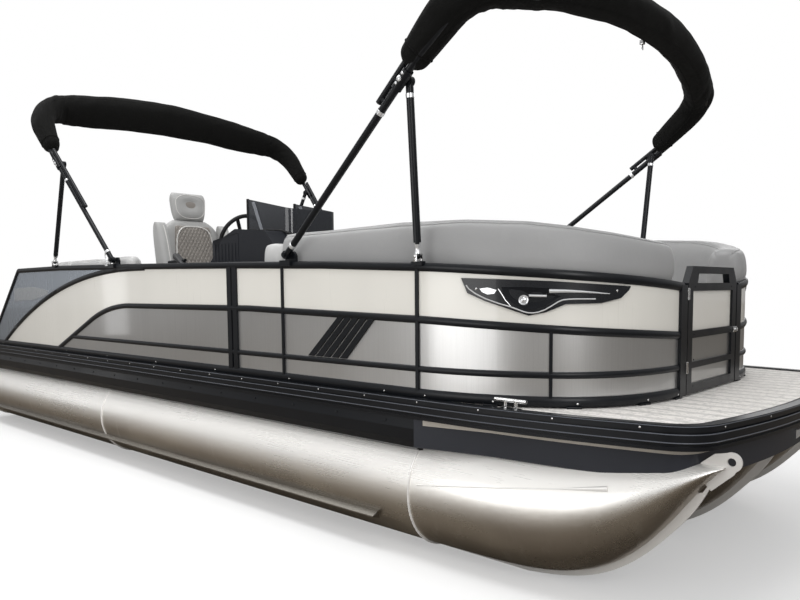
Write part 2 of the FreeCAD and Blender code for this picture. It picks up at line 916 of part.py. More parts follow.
def bow_rail_path(start_z, end_z):
    """Path of a bow rail that falls evenly from the turn's start to the gate."""
    if abs(start_z - end_z) < 1e-6:
        edges = turn_edges(0, start_z)
        tail = Vector(behind(D.gate_x).value, BOW_END_Y, start_z)
        edges.append(Part.LineSegment(edges[-1].Vertexes[-1].Point, tail).toShape())
        return Part.Wire(edges[:3])
    points = []
    steps = 10
    for index in range(steps + 1):
        share = index / steps
        place, _ = turn_place(share)
        points.append((place.x, place.y, start_z + (end_z - start_z) * share ** 1.15))
    return smooth_wire(points)


def side_path(points, radii):
    """Path of a side rail from distances behind the stem and heights."""
    half = -D.fence_half.value
    return rounded_path([(behind(s).value, half, z) for s, z in points], radii)


UP = Vector(0, 0, 1)
ACROSS = Vector(0, 1, 0)
OUT = Vector(0, -1, 0)
rail_depth = D.fence_depth.value

# Long curve of the top rail down to the bottom rail, and the tighter one of the mid rail

top_drop = D.top_mid_z.value + 12 - D.bottom_z.value
top_angle = math.acos(1 - top_drop / D.top_sweep_radius.value)
mid_angle = math.radians(21.5)


def top_sweep_path():
    x0 = behind(D.sweep_tangent_x).value
    z0 = D.top_mid_z.value + 12
    radius = D.top_sweep_radius.value
    half = -D.fence_half.value

    def place(angle):
        return Vector(x0 - radius * math.sin(angle), half, z0 - radius * (1 - math.cos(angle)))

    lead = Vector(x0 + 200, half, z0)
    edges = [
        Part.LineSegment(lead, place(0)).toShape(),
        Part.Arc(place(0), place(top_angle / 2), place(top_angle)).toShape(),
    ]
    return Part.Wire(edges)


def mid_rail_path():
    x0 = behind(D.mid_sweep_x).value
    z0 = D.mid_z.value
    radius = D.mid_sweep_radius.value
    half = -D.fence_half.value

    def place(angle):
        return Vector(x0 - radius * math.sin(angle), half, z0 - radius * (1 - math.cos(angle)))

    bend = place(mid_angle)
    fall = bend.z - D.bottom_z.value
    foot = Vector(bend.x - fall / math.tan(mid_angle), half, D.bottom_z.value)
    bow = Vector(behind(D.turn_start).value, half, D.mid_bow_z.value)
    flat = Vector(behind(2800).value, half, z0)
    edges = [
        Part.LineSegment(foot, bend).toShape(),
        Part.Arc(bend, place(mid_angle / 2), place(0)).toShape(),
        Part.LineSegment(place(0), flat).toShape(),
        Part.LineSegment(flat, bow).toShape(),
    ]
    return Part.Wire(edges)


def straight(points):
    half = -D.fence_half.value
    return wire([(behind(s).value, half, z) for s, z in points])


def post(distance, low, high, wide):
    """Upright between two heights on the starboard fence line."""
    x = behind(distance).value
    depth = rail_depth - 4
    return Part.makeBox(
        wide, depth, high - low, Vector(x - wide / 2, -D.fence_half.value - depth / 2, low)
    )


turn_s = D.turn_start.value
top_points = [
    (turn_s, D.top_bow_z.value),
    (2100, 1523),
    (2950, D.top_mid_z.value),
    (4300, D.top_mid_z.value + 26),
    (5600, D.top_aft_z.value),
    (D.quarter_top_x.value, D.top_aft_z.value - 2),
    (D.quarter_foot_x.value, D.bottom_z.value),
]
top_path = side_path(top_points, [2500, 2500, 2500, 2500, 60])
bottom_path = straight([(turn_s, D.bottom_z.value), (D.quarter_foot_x.value, D.bottom_z.value)])
low_path = straight([(turn_s, D.low_z.value), (5400, D.low_z.value)])
side_shapes = [
    rail(top_path, rail_depth, D.top_tall.value, OUT, ACROSS),
    rail(top_sweep_path(), rail_depth - 2, D.top_tall.value - 2, OUT, ACROSS),
    rail(mid_rail_path(), rail_depth - 2, D.mid_tall.value, OUT, ACROSS),
    rail(bottom_path, rail_depth, D.bottom_tall.value, OUT, ACROSS),
    rail(low_path, rail_depth - 4, D.low_tall.value, OUT, ACROSS),
]
DOUBLE_POST = (2940, 3000)
for distance in DOUBLE_POST:
    side_shapes.append(post(distance, D.bottom_z.value, D.top_mid_z.value, D.post_wide.value))
side_shapes.append(post(2456, D.bottom_z.value, 1530, 16))
side_shapes.append(post(turn_s + 9, D.bottom_z.value, 1494, 18))
fence_side = feature("fence_side_starboard", joined(side_shapes))
export("fence_sides", both_sides("fence_sides", fence_side))

# Bow part of the fence, with its end post beside the gate

bow_rails = [
    (D.top_bow_z.value, D.top_gate_z.value, D.top_tall.value, rail_depth),
    (D.mid_bow_z.value, D.mid_gate_z.value, D.mid_tall.value, rail_depth - 2),
    (D.low_z.value, D.low_z.value, D.low_tall.value, rail_depth - 4),
    (D.bottom_z.value, D.bottom_z.value, D.bottom_tall.value, rail_depth),
]
bow_shapes = []
for start_z, end_z, tall, depth in bow_rails:
    bow_shapes.append(rail(bow_rail_path(start_z, end_z), depth, tall, OUT, UP))
gate_plane = behind(D.gate_x).value
end_post = Part.makeBox(
    rail_depth,
    76,
    D.top_gate_z.value + 12 - D.gate_low.value,
    Vector(gate_plane - rail_depth / 2, -D.gate_half.value - 10 - 76, D.gate_low.value - 1),
)
divider_place, divider_heading = turn_place(0.459)
divider = Part.makeBox(16, rail_depth - 6, 330, Vector(-8, -(rail_depth - 6) / 2, 0))
divider.rotate(Vector(0, 0, 0), UP, math.degrees(divider_heading))
divider.translate(Vector(divider_place.x, divider_place.y, D.bottom_z.value))
bow_shapes += [end_post, divider]
side_zone = Part.makeBox(900, 400, 1200, Vector(behind(turn_s).value - 900, -1500, 700))
bow_shapes = [shape.cut(side_zone) for shape in bow_shapes]
fence_bow = feature("fence_bow_starboard", joined(bow_shapes))
export("fence_bows", both_sides("fence_bows", fence_bow))


# Panels: thin sheets cut to seat between the rails

def side_sheet():
    """Whole side sheet, before the rails divide it."""
    y = -D.fence_half.value - D.panel_thick.value / 2
    corners = [
        (behind(turn_s).value, D.bottom_z.value),
        (behind(turn_s).value, D.top_bow_z.value),
        (behind(2950).value, D.top_mid_z.value),
        (behind(5600).value, D.top_aft_z.value - 8),
        (behind(D.quarter_top_x).value, D.top_aft_z.value - 8),
        (behind(D.quarter_foot_x).value + 4, D.bottom_z.value),
    ]
    face = Part.Face(wire([(x, y, z) for x, z in corners], True))
    return face.extrude(Vector(0, D.panel_thick.value, 0))


def bow_sheet():
    """Curved sheet across the bow turn, before the rails divide it."""
    half = D.panel_thick.value / 2
    low, high = D.bottom_z.value, D.top_bow_z.value
    outer = turn_edges(-half, low)
    inner = turn_edges(half, low)
    ends = [
        Part.LineSegment(outer[0].Vertexes[0].Point, inner[0].Vertexes[0].Point).toShape(),
        Part.LineSegment(outer[-1].Vertexes[-1].Point, inner[-1].Vertexes[-1].Point).toShape(),
    ]
    face = Part.Face(Part.Wire(Part.__sortEdges__(outer + inner + ends)))
    sheet_shape = face.extrude(Vector(0, 0, high - low))
    # the part above the falling top rail is trimmed off
    trim_points = []
    steps = 6
    for index in range(steps + 1):
        share = index / steps
        place, _ = turn_place(share)
        height = D.top_bow_z.value + (D.top_gate_z.value - D.top_bow_z.value) * share ** 1.15
        trim_points.append((place.y, height))
    outline = [(-1400, D.top_bow_z.value)] + trim_points + [(-300, trim_points[-1][1])]
    outline += [(-300, 1700), (-1400, 1700)]
    cutter = Part.Face(wire([(behind(turn_s).value - 10, y, z) for y, z in outline], True))
    return sheet_shape.cut(cutter.extrude(Vector(1200, 0, 0)))


side_pieces = side_sheet().cut(side_shapes).Solids
bow_pieces = bow_sheet().cut(bow_shapes + side_shapes).Solids


def sort_pieces(pieces, mid_height):
    """Splits panel pieces into cream ones above the mid rail, silver ones below and the rest."""
    cream, silver, quarter = [], [], []
    for piece in pieces:
        if piece.Volume < 2e4:
            continue
        centre = piece.CenterOfMass
        aft = behind(5800).value
        if centre.x < aft and piece.BoundBox.ZMax > D.top_aft_z.value - 60:
            quarter.append(piece)
        elif centre.z > mid_height:
            cream.append(piece)
        else:
            silver.append(piece)
    return cream, silver, quarter


side_cream, side_silver, quarter_pieces = sort_pieces(side_pieces, D.mid_z.value - 40)
bow_cream, bow_silver, _ = sort_pieces(bow_pieces, D.mid_gate_z.value + 30)
for label, pieces in (
    ("cream_panels", side_cream + bow_cream),
    ("silver_panels", side_silver + bow_silver),
    ("quarter_panels", quarter_pieces),
):
    shapes = pieces + [on_port(piece) for piece in pieces]
    export(label, feature(label, Part.Compound(shapes)))

# Louvre: five slanted bars on the silver panel

LOUVRE_LOW, LOUVRE_HIGH = (2227, 1893), (1973, 1671)
bars = []
bar_count = 5
for index in range(bar_count):
    a0, a1 = index / bar_count, (index + 0.72) / bar_count
    low_s, high_s = LOUVRE_LOW, LOUVRE_HIGH

    def across_at(pair, share):
        return pair[0] + (pair[1] - pair[0]) * share

    outline = [
        (behind(across_at(low_s, a0)), 1010),
        (behind(across_at(low_s, a1)), 1010),
        (behind(across_at(high_s, a1)), 1236),
        (behind(across_at(high_s, a0)), 1236),
    ]
    bars.append(
        prism(
            f"louvre_bar_{index}",
            "XZ_Plane",
            [outline],
            10,
            offset=D.fence_half + D.panel_thick / 2,
        )
    )
louvre = cut("louvre_starboard", group("louvre_blank", bars), fence_side)
export("louvre_bars", both_sides("louvre_bars", louvre))

# Light inserts: a slim wing shaped housing on the curved cream panel

LIGHT_OUTLINE = [
    # share of the bow turn and height
    (0.165, 1436),
    (0.298, 1428),
    (0.454, 1417),
    (0.609, 1401),
    (0.715, 1391),
    (0.708, 1373),
    (0.678, 1337),
    (0.610, 1316),
    (0.500, 1313),
    (0.440, 1277),
    (0.387, 1262),
    (0.344, 1282),
    (0.299, 1304),
    (0.249, 1327),
    (0.187, 1365),
]


def light_insert():
    """Thin housing whose outline is pushed through the curved panel."""
    half = D.panel_thick.value / 2
    outer = turn_edges(-half - 14, 1200)
    inner = turn_edges(-half, 1200)
    ends = [
        Part.LineSegment(outer[0].Vertexes[0].Point, inner[0].Vertexes[0].Point).toShape(),
        Part.LineSegment(outer[-1].Vertexes[-1].Point, inner[-1].Vertexes[-1].Point).toShape(),
    ]
    face = Part.Face(Part.Wire(Part.__sortEdges__(outer + inner + ends)))
    skin = face.extrude(Vector(0, 0, 300))
    direction = Vector(1, -1.15, 0).normalize()
    corners = []
    for share, height in LIGHT_OUTLINE:
        place, _ = turn_place(share)
        corners.append(Vector(place.x, place.y, height))
    flat = []
    plane_point = corners[0] - direction * 400
    for corner in corners:
        distance = (corner - plane_point).dot(direction)
        flat.append(corner - direction * distance)
    outline = Part.makePolygon(flat + [flat[0]])
    prism_shape = Part.Face(outline).extrude(direction * 1200)
    return skin.common(prism_shape)


light = feature("light_starboard", light_insert())
export("light_inserts", both_sides("light_inserts", light))

# Bow gate: one frame with a hoop over it, and its panels

gate_half = D.gate_half
windows = [
    [(-gate_half + 62, 895), (gate_half - 62, 895), (gate_half - 62, 976), (-gate_half + 62, 976)],
    [(-gate_half + 62, 1007), (gate_half - 62, 1007), (gate_half - 62, 1128), (-gate_half + 62, 1128)],
    [(-gate_half + 62, 1165), (gate_half - 62, 1165), (gate_half - 62, 1364), (-gate_half + 62, 1364)],
    [(-gate_half + 118, 1404), (gate_half - 118, 1404), (gate_half - 134, 1452), (-gate_half + 134, 1452)],
]
gate_outline = [
    (-gate_half, D.gate_low),
    (gate_half, D.gate_low),
    (gate_half, 1404),
    (gate_half - 55, 1488),
    (-gate_half + 55, 1488),
    (-gate_half, 1404),
]
gate_frame = prism(
    "bow_gate_frame",
    "YZ_Plane",
    [gate_outline] + windows,
    D.fence_depth - 2,
    both=True,
    offset=behind(D.gate_x),
)
export("bow_gate_frame", gate_frame)
gate_panels = [
    prism(
        f"bow_gate_panel_{index}",
        "YZ_Plane",
        [outline],
        D.panel_thick,
        both=True,
        offset=behind(D.gate_x),
    )
    for index, outline in enumerate(windows[:3])
]
export("bow_gate_panels", group("bow_gate_panels", gate_panels))

# Stern fence: two end posts by the stern gate and a panelled run to starboard

stern_x = behind(D.stern_fence_x)
gate_port = D.stern_gate_y + D.stern_gate_half
gate_stbd = D.stern_gate_y - D.stern_gate_half
run_outline = [
    (-D.fence_half + 26, D.gate_low),
    (gate_stbd - 8, D.gate_low),
    (gate_stbd - 8, D.stern_fence_top),
    (-D.fence_half + 26, D.stern_fence_top - 150),
]
run_windows = []
for low_y, high_y in ((-1180, -420), (-376, 120), (164, 508)):
    run_windows.append([(low_y, 895), (high_y, 895), (high_y, 1130), (low_y, 1130)])
stern_run = prism(
    "stern_run", "YZ_Plane", [run_outline] + run_windows, D.fence_depth, both=True, offset=stern_x
)
stern_post = prism(
    "stern_post",
    "YZ_Plane",
    [
        [
            (gate_port + 8, D.gate_low),
            (D.fence_half - 26, D.gate_low),
            (D.fence_half - 26, D.stern_fence_top - 150),
            (gate_port + 8, D.stern_fence_top - 120),
        ]
    ],
    D.fence_depth,
    both=True,
    offset=stern_x,
)
stern_panels = [
    prism(
        f"stern_panel_{index}", "YZ_Plane", [outline], D.panel_thick, both=True, offset=stern_x
    )
    for index, outline in enumerate(run_windows)
]
export("fence_stern", group("fence_stern", [stern_run, stern_post] + stern_panels))

stern_windows = [
    [
        (gate_stbd + 44, 895),
        (gate_port - 44, 895),
        (gate_port - 44, D.stern_fence_top - 44),
        (gate_stbd + 44, D.stern_fence_top - 44),
    ]
]
stern_gate = prism(
    "stern_gate_frame",
    "YZ_Plane",
    [
        [
            (gate_stbd, D.gate_low),
            (gate_port, D.gate_low),
            (gate_port, D.stern_fence_top),
            (gate_stbd, D.stern_fence_top),
        ]
    ]
    + stern_windows,
    D.fence_depth - 2,
    both=True,
    offset=stern_x,
)
export("stern_gate_frame", stern_gate)
export(
    "stern_gate_panel",
    prism("stern_gate_panel", "YZ_Plane", stern_windows, D.panel_thick, both=True, offset=stern_x),
)


# Lounges: moulded bases, seat cushions and backrests that follow the bow turn

def turn_band(outer, inner, low, high, lead):
    """Band inside the fence between two insets, with a straight lead behind the turn."""
    start_x = behind(D.turn_start).value
    aft_x = behind(lead).value
    half = -D.fence_half.value
    outer_edges = turn_edges(outer, low)
    inner_edges = turn_edges(inner, low)
    outer_lead = Part.LineSegment(
        Vector(aft_x, half + outer, low), Vector(start_x, half + outer, low)
    ).toShape()
    inner_lead = Part.LineSegment(
        Vector(aft_x, half + inner, low), Vector(start_x, half + inner, low)
    ).toShape()
    ends = [
        Part.LineSegment(Vector(aft_x, half + outer, low), Vector(aft_x, half + inner, low)).toShape(),
        Part.LineSegment(
            outer_edges[-1].Vertexes[-1].Point, inner_edges[-1].Vertexes[-1].Point
        ).toShape(),
    ]
    edges = outer_edges + inner_edges + [outer_lead, inner_lead] + ends
    face = Part.Face(Part.Wire(Part.__sortEdges__(edges)))
    return face.extrude(Vector(0, 0, high - low))


deck_top = D.deck_top.value
LOUNGE_AFT = 2520
AISLE_HALF = 440
aisle = Part.makeBox(5000, 2 * AISLE_HALF, 1500, Vector(behind(4000).value, -AISLE_HALF, deck_top - 10))
base_shape = turn_band(70, 560, deck_top, deck_top + 300, LOUNGE_AFT).cut(aisle)
seat_shape = turn_band(205, 600, deck_top + 302, deck_top + 430, LOUNGE_AFT).cut(aisle)
back_shape = turn_band(52, 200, deck_top + 302, deck_top + 880, LOUNGE_AFT).cut(aisle)
# the top of the backrest falls towards the bow as the fence does
fall = wire(
    [
        (behind(LOUNGE_AFT + 50).value, -1400, 1742),
        (behind(1600).value, -1400, 1735),
        (behind(900).value, -1400, 1686),
        (behind(500).value, -1400, 1628),
        (behind(300).value, -1400, 1585),
        (behind(300).value, -1400, 1900),
        (behind(LOUNGE_AFT + 50).value, -1400, 1900),
    ],
    True,
)
back_shape = back_shape.cut(Part.Face(fall).extrude(Vector(0, 1400, 0)))
bolster = Part.makeBox(170, 190, 500, Vector(behind(2695).value, -1198, deck_top + 302))
bolster = bolster.makeFillet(60, [edge for edge in bolster.Edges if edge.CenterOfMass.z > deck_top + 790])
seat_shape = seat_shape.fuse(bolster)
for label, shape in (
    ("bow_lounge_bases", base_shape),
    ("bow_lounge_seats", seat_shape),
    ("bow_lounge_backs", back_shape),
):
    export(label, both_sides(label, feature(label + "_starboard", shape)))

# Aft lounge: along the starboard side and across the stern

SEAT_TOP = deck_top + 430
AFT_FRONT, AFT_STERN = 4980, 6715


def lounge_l(low, high, side_inset, side_depth, stern_inset, stern_depth, port_end, front=AFT_FRONT):
    """L shaped prism along the starboard side and across the stern."""
    y_side = -D.fence_half.value + side_inset
    x_stern = behind(AFT_STERN - stern_inset).value
    points = [
        (behind(front).value, y_side),
        (behind(front).value, y_side + side_depth),
        (x_stern + stern_depth, y_side + side_depth),
        (x_stern + stern_depth, port_end),
        (x_stern, port_end),
        (x_stern, y_side),
    ]
    face = Part.Face(wire([(x, y, low) for x, y in points], True))
    return face.extrude(Vector(0, 0, high - low))


STERN_PORT_END = 500
export("aft_lounge_base", feature(
    "aft_lounge_base", lounge_l(deck_top, deck_top + 300, 60, 540, 0, 640, STERN_PORT_END)
))
export("aft_lounge_seat", feature(
    "aft_lounge_seat",
    lounge_l(deck_top + 302, SEAT_TOP, 205, 420, 160, 510, STERN_PORT_END),
))
export("aft_lounge_back", feature(
    "aft_lounge_back", lounge_l(deck_top + 302, 1700, 52, 150, 10, 148, STERN_PORT_END)
))

# Port lounge opposite the helm

PORT_FRONT, PORT_AFT = 3020, 5600
port_base = box(
    "port_lounge_base",
    (behind(PORT_AFT), D.fence_half - 600, D.deck_top),
    (behind(PORT_FRONT), D.fence_half - 60, D.deck_top + 300),
)
export("port_lounge_base", port_base)
port_seat = box(
    "port_lounge_seat",
    (behind(PORT_AFT), D.fence_half - 625, D.deck_top + 302),
    (behind(PORT_FRONT), D.fence_half - 205, D.deck_top + 430),
)
port_back = box(
    "port_lounge_back",
    (behind(PORT_AFT), D.fence_half - 200, D.deck_top + 302),
    (behind(PORT_FRONT), D.fence_half - 52, D.deck_top + 862),
)
export("port_lounge_cushions", group("port_lounge_cushions", [port_seat, port_back]))

# Helm console with a sloping dash, a wrap windscreen and a steering wheel

console_profile = [
    (behind(D.console_front), D.deck_top),
    (behind(D.console_front), D.console_top - 60),
    (behind(D.console_front + 90), D.console_top + 30),
    (behind(D.console_front + 420), D.console_top + 60),
    (behind(D.console_front + 560), D.console_top + 10),
    (behind(D.console_aft), D.console_top - 210),
    (behind(D.console_aft), D.console_top - 330),
    (behind(D.console_aft - 140), D.console_top - 420),
    (behind(D.console_aft - 140), D.deck_top),
]
console = prism(
    "console",
    "XZ_Plane",
    [console_profile],
    D.console_outer - D.console_inner,
    offset=D.console_inner,
)
round_edges(
    console,
    "console_edges",
    45,
    lambda edge: along(edge, Vector(0, 1, 0)) and edge.CenterOfMass.z > 1500,
)
export("console", console)

# Windscreen: a low glass wrapped round the front of the dash, higher at its aft ends

SCREEN_OUTER, SCREEN_INNER = 915, 500
SCREEN_FRONT, SCREEN_AFT = 2800, 3265
SCREEN_LOW, SCREEN_FRONT_TOP, SCREEN_AFT_TOP = 1740, 1918, 2022
screen_line = [
    (behind(SCREEN_AFT).value, -SCREEN_OUTER, 0),
    (behind(SCREEN_FRONT).value, -SCREEN_OUTER, 0),
    (behind(SCREEN_FRONT).value, -SCREEN_INNER, 0),
    (behind(SCREEN_AFT).value, -SCREEN_INNER, 0),
]


def screen_wall():
    """Glass of even thickness along the wrapped line, cut to its raked top edge."""
    thick, corner = 7, 60
    profile = wire(
        [
            (behind(SCREEN_AFT).value, -SCREEN_OUTER - thick / 2, SCREEN_LOW),
            (behind(SCREEN_AFT).value, -SCREEN_OUTER + thick / 2, SCREEN_LOW),
            (behind(SCREEN_AFT).value, -SCREEN_OUTER + thick / 2, SCREEN_AFT_TOP),
            (behind(SCREEN_AFT).value, -SCREEN_OUTER - thick / 2, SCREEN_AFT_TOP),
        ],
        True,
    )
    path = rounded_path([(x, y, SCREEN_LOW) for x, y, _ in screen_line], [corner, corner])
    wall = sweep(path, profile, UP)
    above = wire(
        [
            (behind(SCREEN_AFT + 20).value, -1200, SCREEN_AFT_TOP),
            (behind(SCREEN_FRONT).value, -1200, SCREEN_FRONT_TOP),
            (behind(SCREEN_FRONT - 40).value, -1200, SCREEN_FRONT_TOP),
            (behind(SCREEN_FRONT - 40).value, -1200, SCREEN_AFT_TOP + 60),
            (behind(SCREEN_AFT + 20).value, -1200, SCREEN_AFT_TOP + 60),
        ],
        True,
    )
    return wall.cut(Part.Face(above).extrude(Vector(0, 1100, 0)))


export("windscreen", feature("windscreen", screen_wall().cut(console.Shape)))

WHEEL_CENTRE = Vector(behind(D.wheel_x).value, -D.chair_y.value, D.wheel_z.value)
WHEEL_SHAFT = 9
WHEEL_AXIS = Vector(-math.cos(math.radians(28)), 0, math.sin(math.radians(28)))


def steering_wheel():
    """Rim, three spokes and hub, made flat and then turned to the column."""
    rim = Part.makeTorus(D.wheel_radius.value, 15, Vector(0, 0, 0), Vector(0, 0, 1))
    hub = Part.makeCylinder(38, 46, Vector(0, 0, -28), Vector(0, 0, 1))
    shaft = Part.makeCylinder(WHEEL_SHAFT, 70, Vector(0, 0, -98), Vector(0, 0, 1))
    shapes = [rim, hub, shaft]
    for angle in (90, 210, 330):
        spoke = Part.makeBox(D.wheel_radius.value - 8, 26, 9, Vector(0, -13, -8))
        spoke.rotate(Vector(0, 0, 0), Vector(0, 0, 1), angle)
        shapes.append(spoke)
    shape = joined(shapes)
    shape.Placement = Placement(WHEEL_CENTRE, Rotation(Vector(0, 0, 1), WHEEL_AXIS))
    return shape


export("steering_wheel", feature("steering_wheel", steering_wheel()))
column_end = WHEEL_CENTRE - WHEEL_AXIS * 34
column = Part.makeCylinder(26, 190, column_end, WHEEL_AXIS * -1).cut(console.Shape)
column = column.cut(Part.makeCylinder(WHEEL_SHAFT + 0.05, 80, column_end, WHEEL_AXIS * -1))
lever_box = Part.makeBox(70, 60, 90, Vector(behind(3440).value, -470, 1500))
lever = Part.makeCylinder(9, 150, Vector(behind(3405).value, -440, 1580), Vector(-0.35, 0, 1))
throttle_shape = joined([lever_box, lever, Part.makeSphere(22, Vector(behind(3405 + 50).value, -440, 1722))])
throttle_shape = throttle_shape.cut(console.Shape)
export("throttle", feature("throttle", Part.Compound([throttle_shape, column])))

# Helm chair: pedestal on the deck, and a seat that turns on it

chair_x, chair_y = behind(D.chair_x), -D.chair_y
pedestal_foot = cylinder("pedestal_foot", 165, 18, (chair_x, chair_y, D.deck_top), (0, 0, 1))
pedestal_post = cylinder("pedestal_post", 42, 330, (chair_x, chair_y, D.deck_top), (0, 0, 1))
SPIGOT = 30
pedestal_bore = cylinder(
    "pedestal_bore", SPIGOT + 0.05, 200, (chair_x, chair_y, D.deck_top + 220), (0, 0, 1)
)
pedestal_blank = fuse("pedestal_blank", [pedestal_foot, pedestal_post])
export("chair_pedestal", cut("chair_pedestal", pedestal_blank, pedestal_bore))


def chair_part(outline, half_width, side):
    """Chair piece from a side outline given forward of and above the swivel."""
    base = D.deck_top.value + 335
    points = [(chair_x.value + x, chair_y.value - half_width, base + z) for x, z in outline]
    face = Part.Face(wire(points, True))
    return face.extrude(Vector(0, 2 * half_width, 0)) if side else face


seat_plate = chair_part([(-190, 0), (200, 0), (200, 40), (-190, 40)], 200, True)
seat_pad = chair_part(
    [(-225, 40), (225, 40), (255, 80), (255, 175), (215, 205), (-140, 190), (-225, 190)], 250, True
)
seat_back = chair_part(
    [(-125, 190), (-205, 760), (-235, 800), (-290, 800), (-318, 760), (-235, 170)], 242, True
)
head = chair_part([(-208, 790), (-196, 985), (-225, 1018), (-315, 1018), (-340, 985), (-312, 790)], 165, True)
arms = []
for side in (-1, 1):
    arm = Part.makeBox(370, 56, 46, Vector(chair_x.value - 200, chair_y.value + side * 272 - 28, 1468))
    stay = Part.makeBox(60, 44, 330, Vector(chair_x.value - 190, chair_y.value + side * 268 - 22, 1215))
    arms += [arm, stay]
spigot = Part.makeCylinder(SPIGOT, 105, Vector(chair_x.value, chair_y.value, D.deck_top.value + 233), UP)
seat_parts = [seat_plate, spigot, seat_pad, seat_back, head] + arms
export("helm_seat", feature("helm_seat", joined(seat_parts)))


# Canopy hoops: legs that rise from the rail pivots to the bow that carries the stowed canopy

PIVOT_PIN, KNUCKLE_PIN, FIT = 8, 6, 0.05
BRACE_GAP = 48
PIVOT_EYE, KNUCKLE_EYE = 24, 25


def oval(centre, side, up, wide, deep):
    """Closed oval wire across a path."""
    steps = 12
    points = []
    for index in range(steps):
        angle = 2 * math.pi * index / steps
        points.append(centre + side * (wide / 2 * math.cos(angle)) + up * (deep / 2 * math.sin(angle)))
    curve = Part.BSplineCurve()
    curve.interpolate(points, PeriodicFlag=True)
    return Part.Wire(curve.toShape())


BOOT_RIBS = 25
BOOT_SHOULDER = 0.15


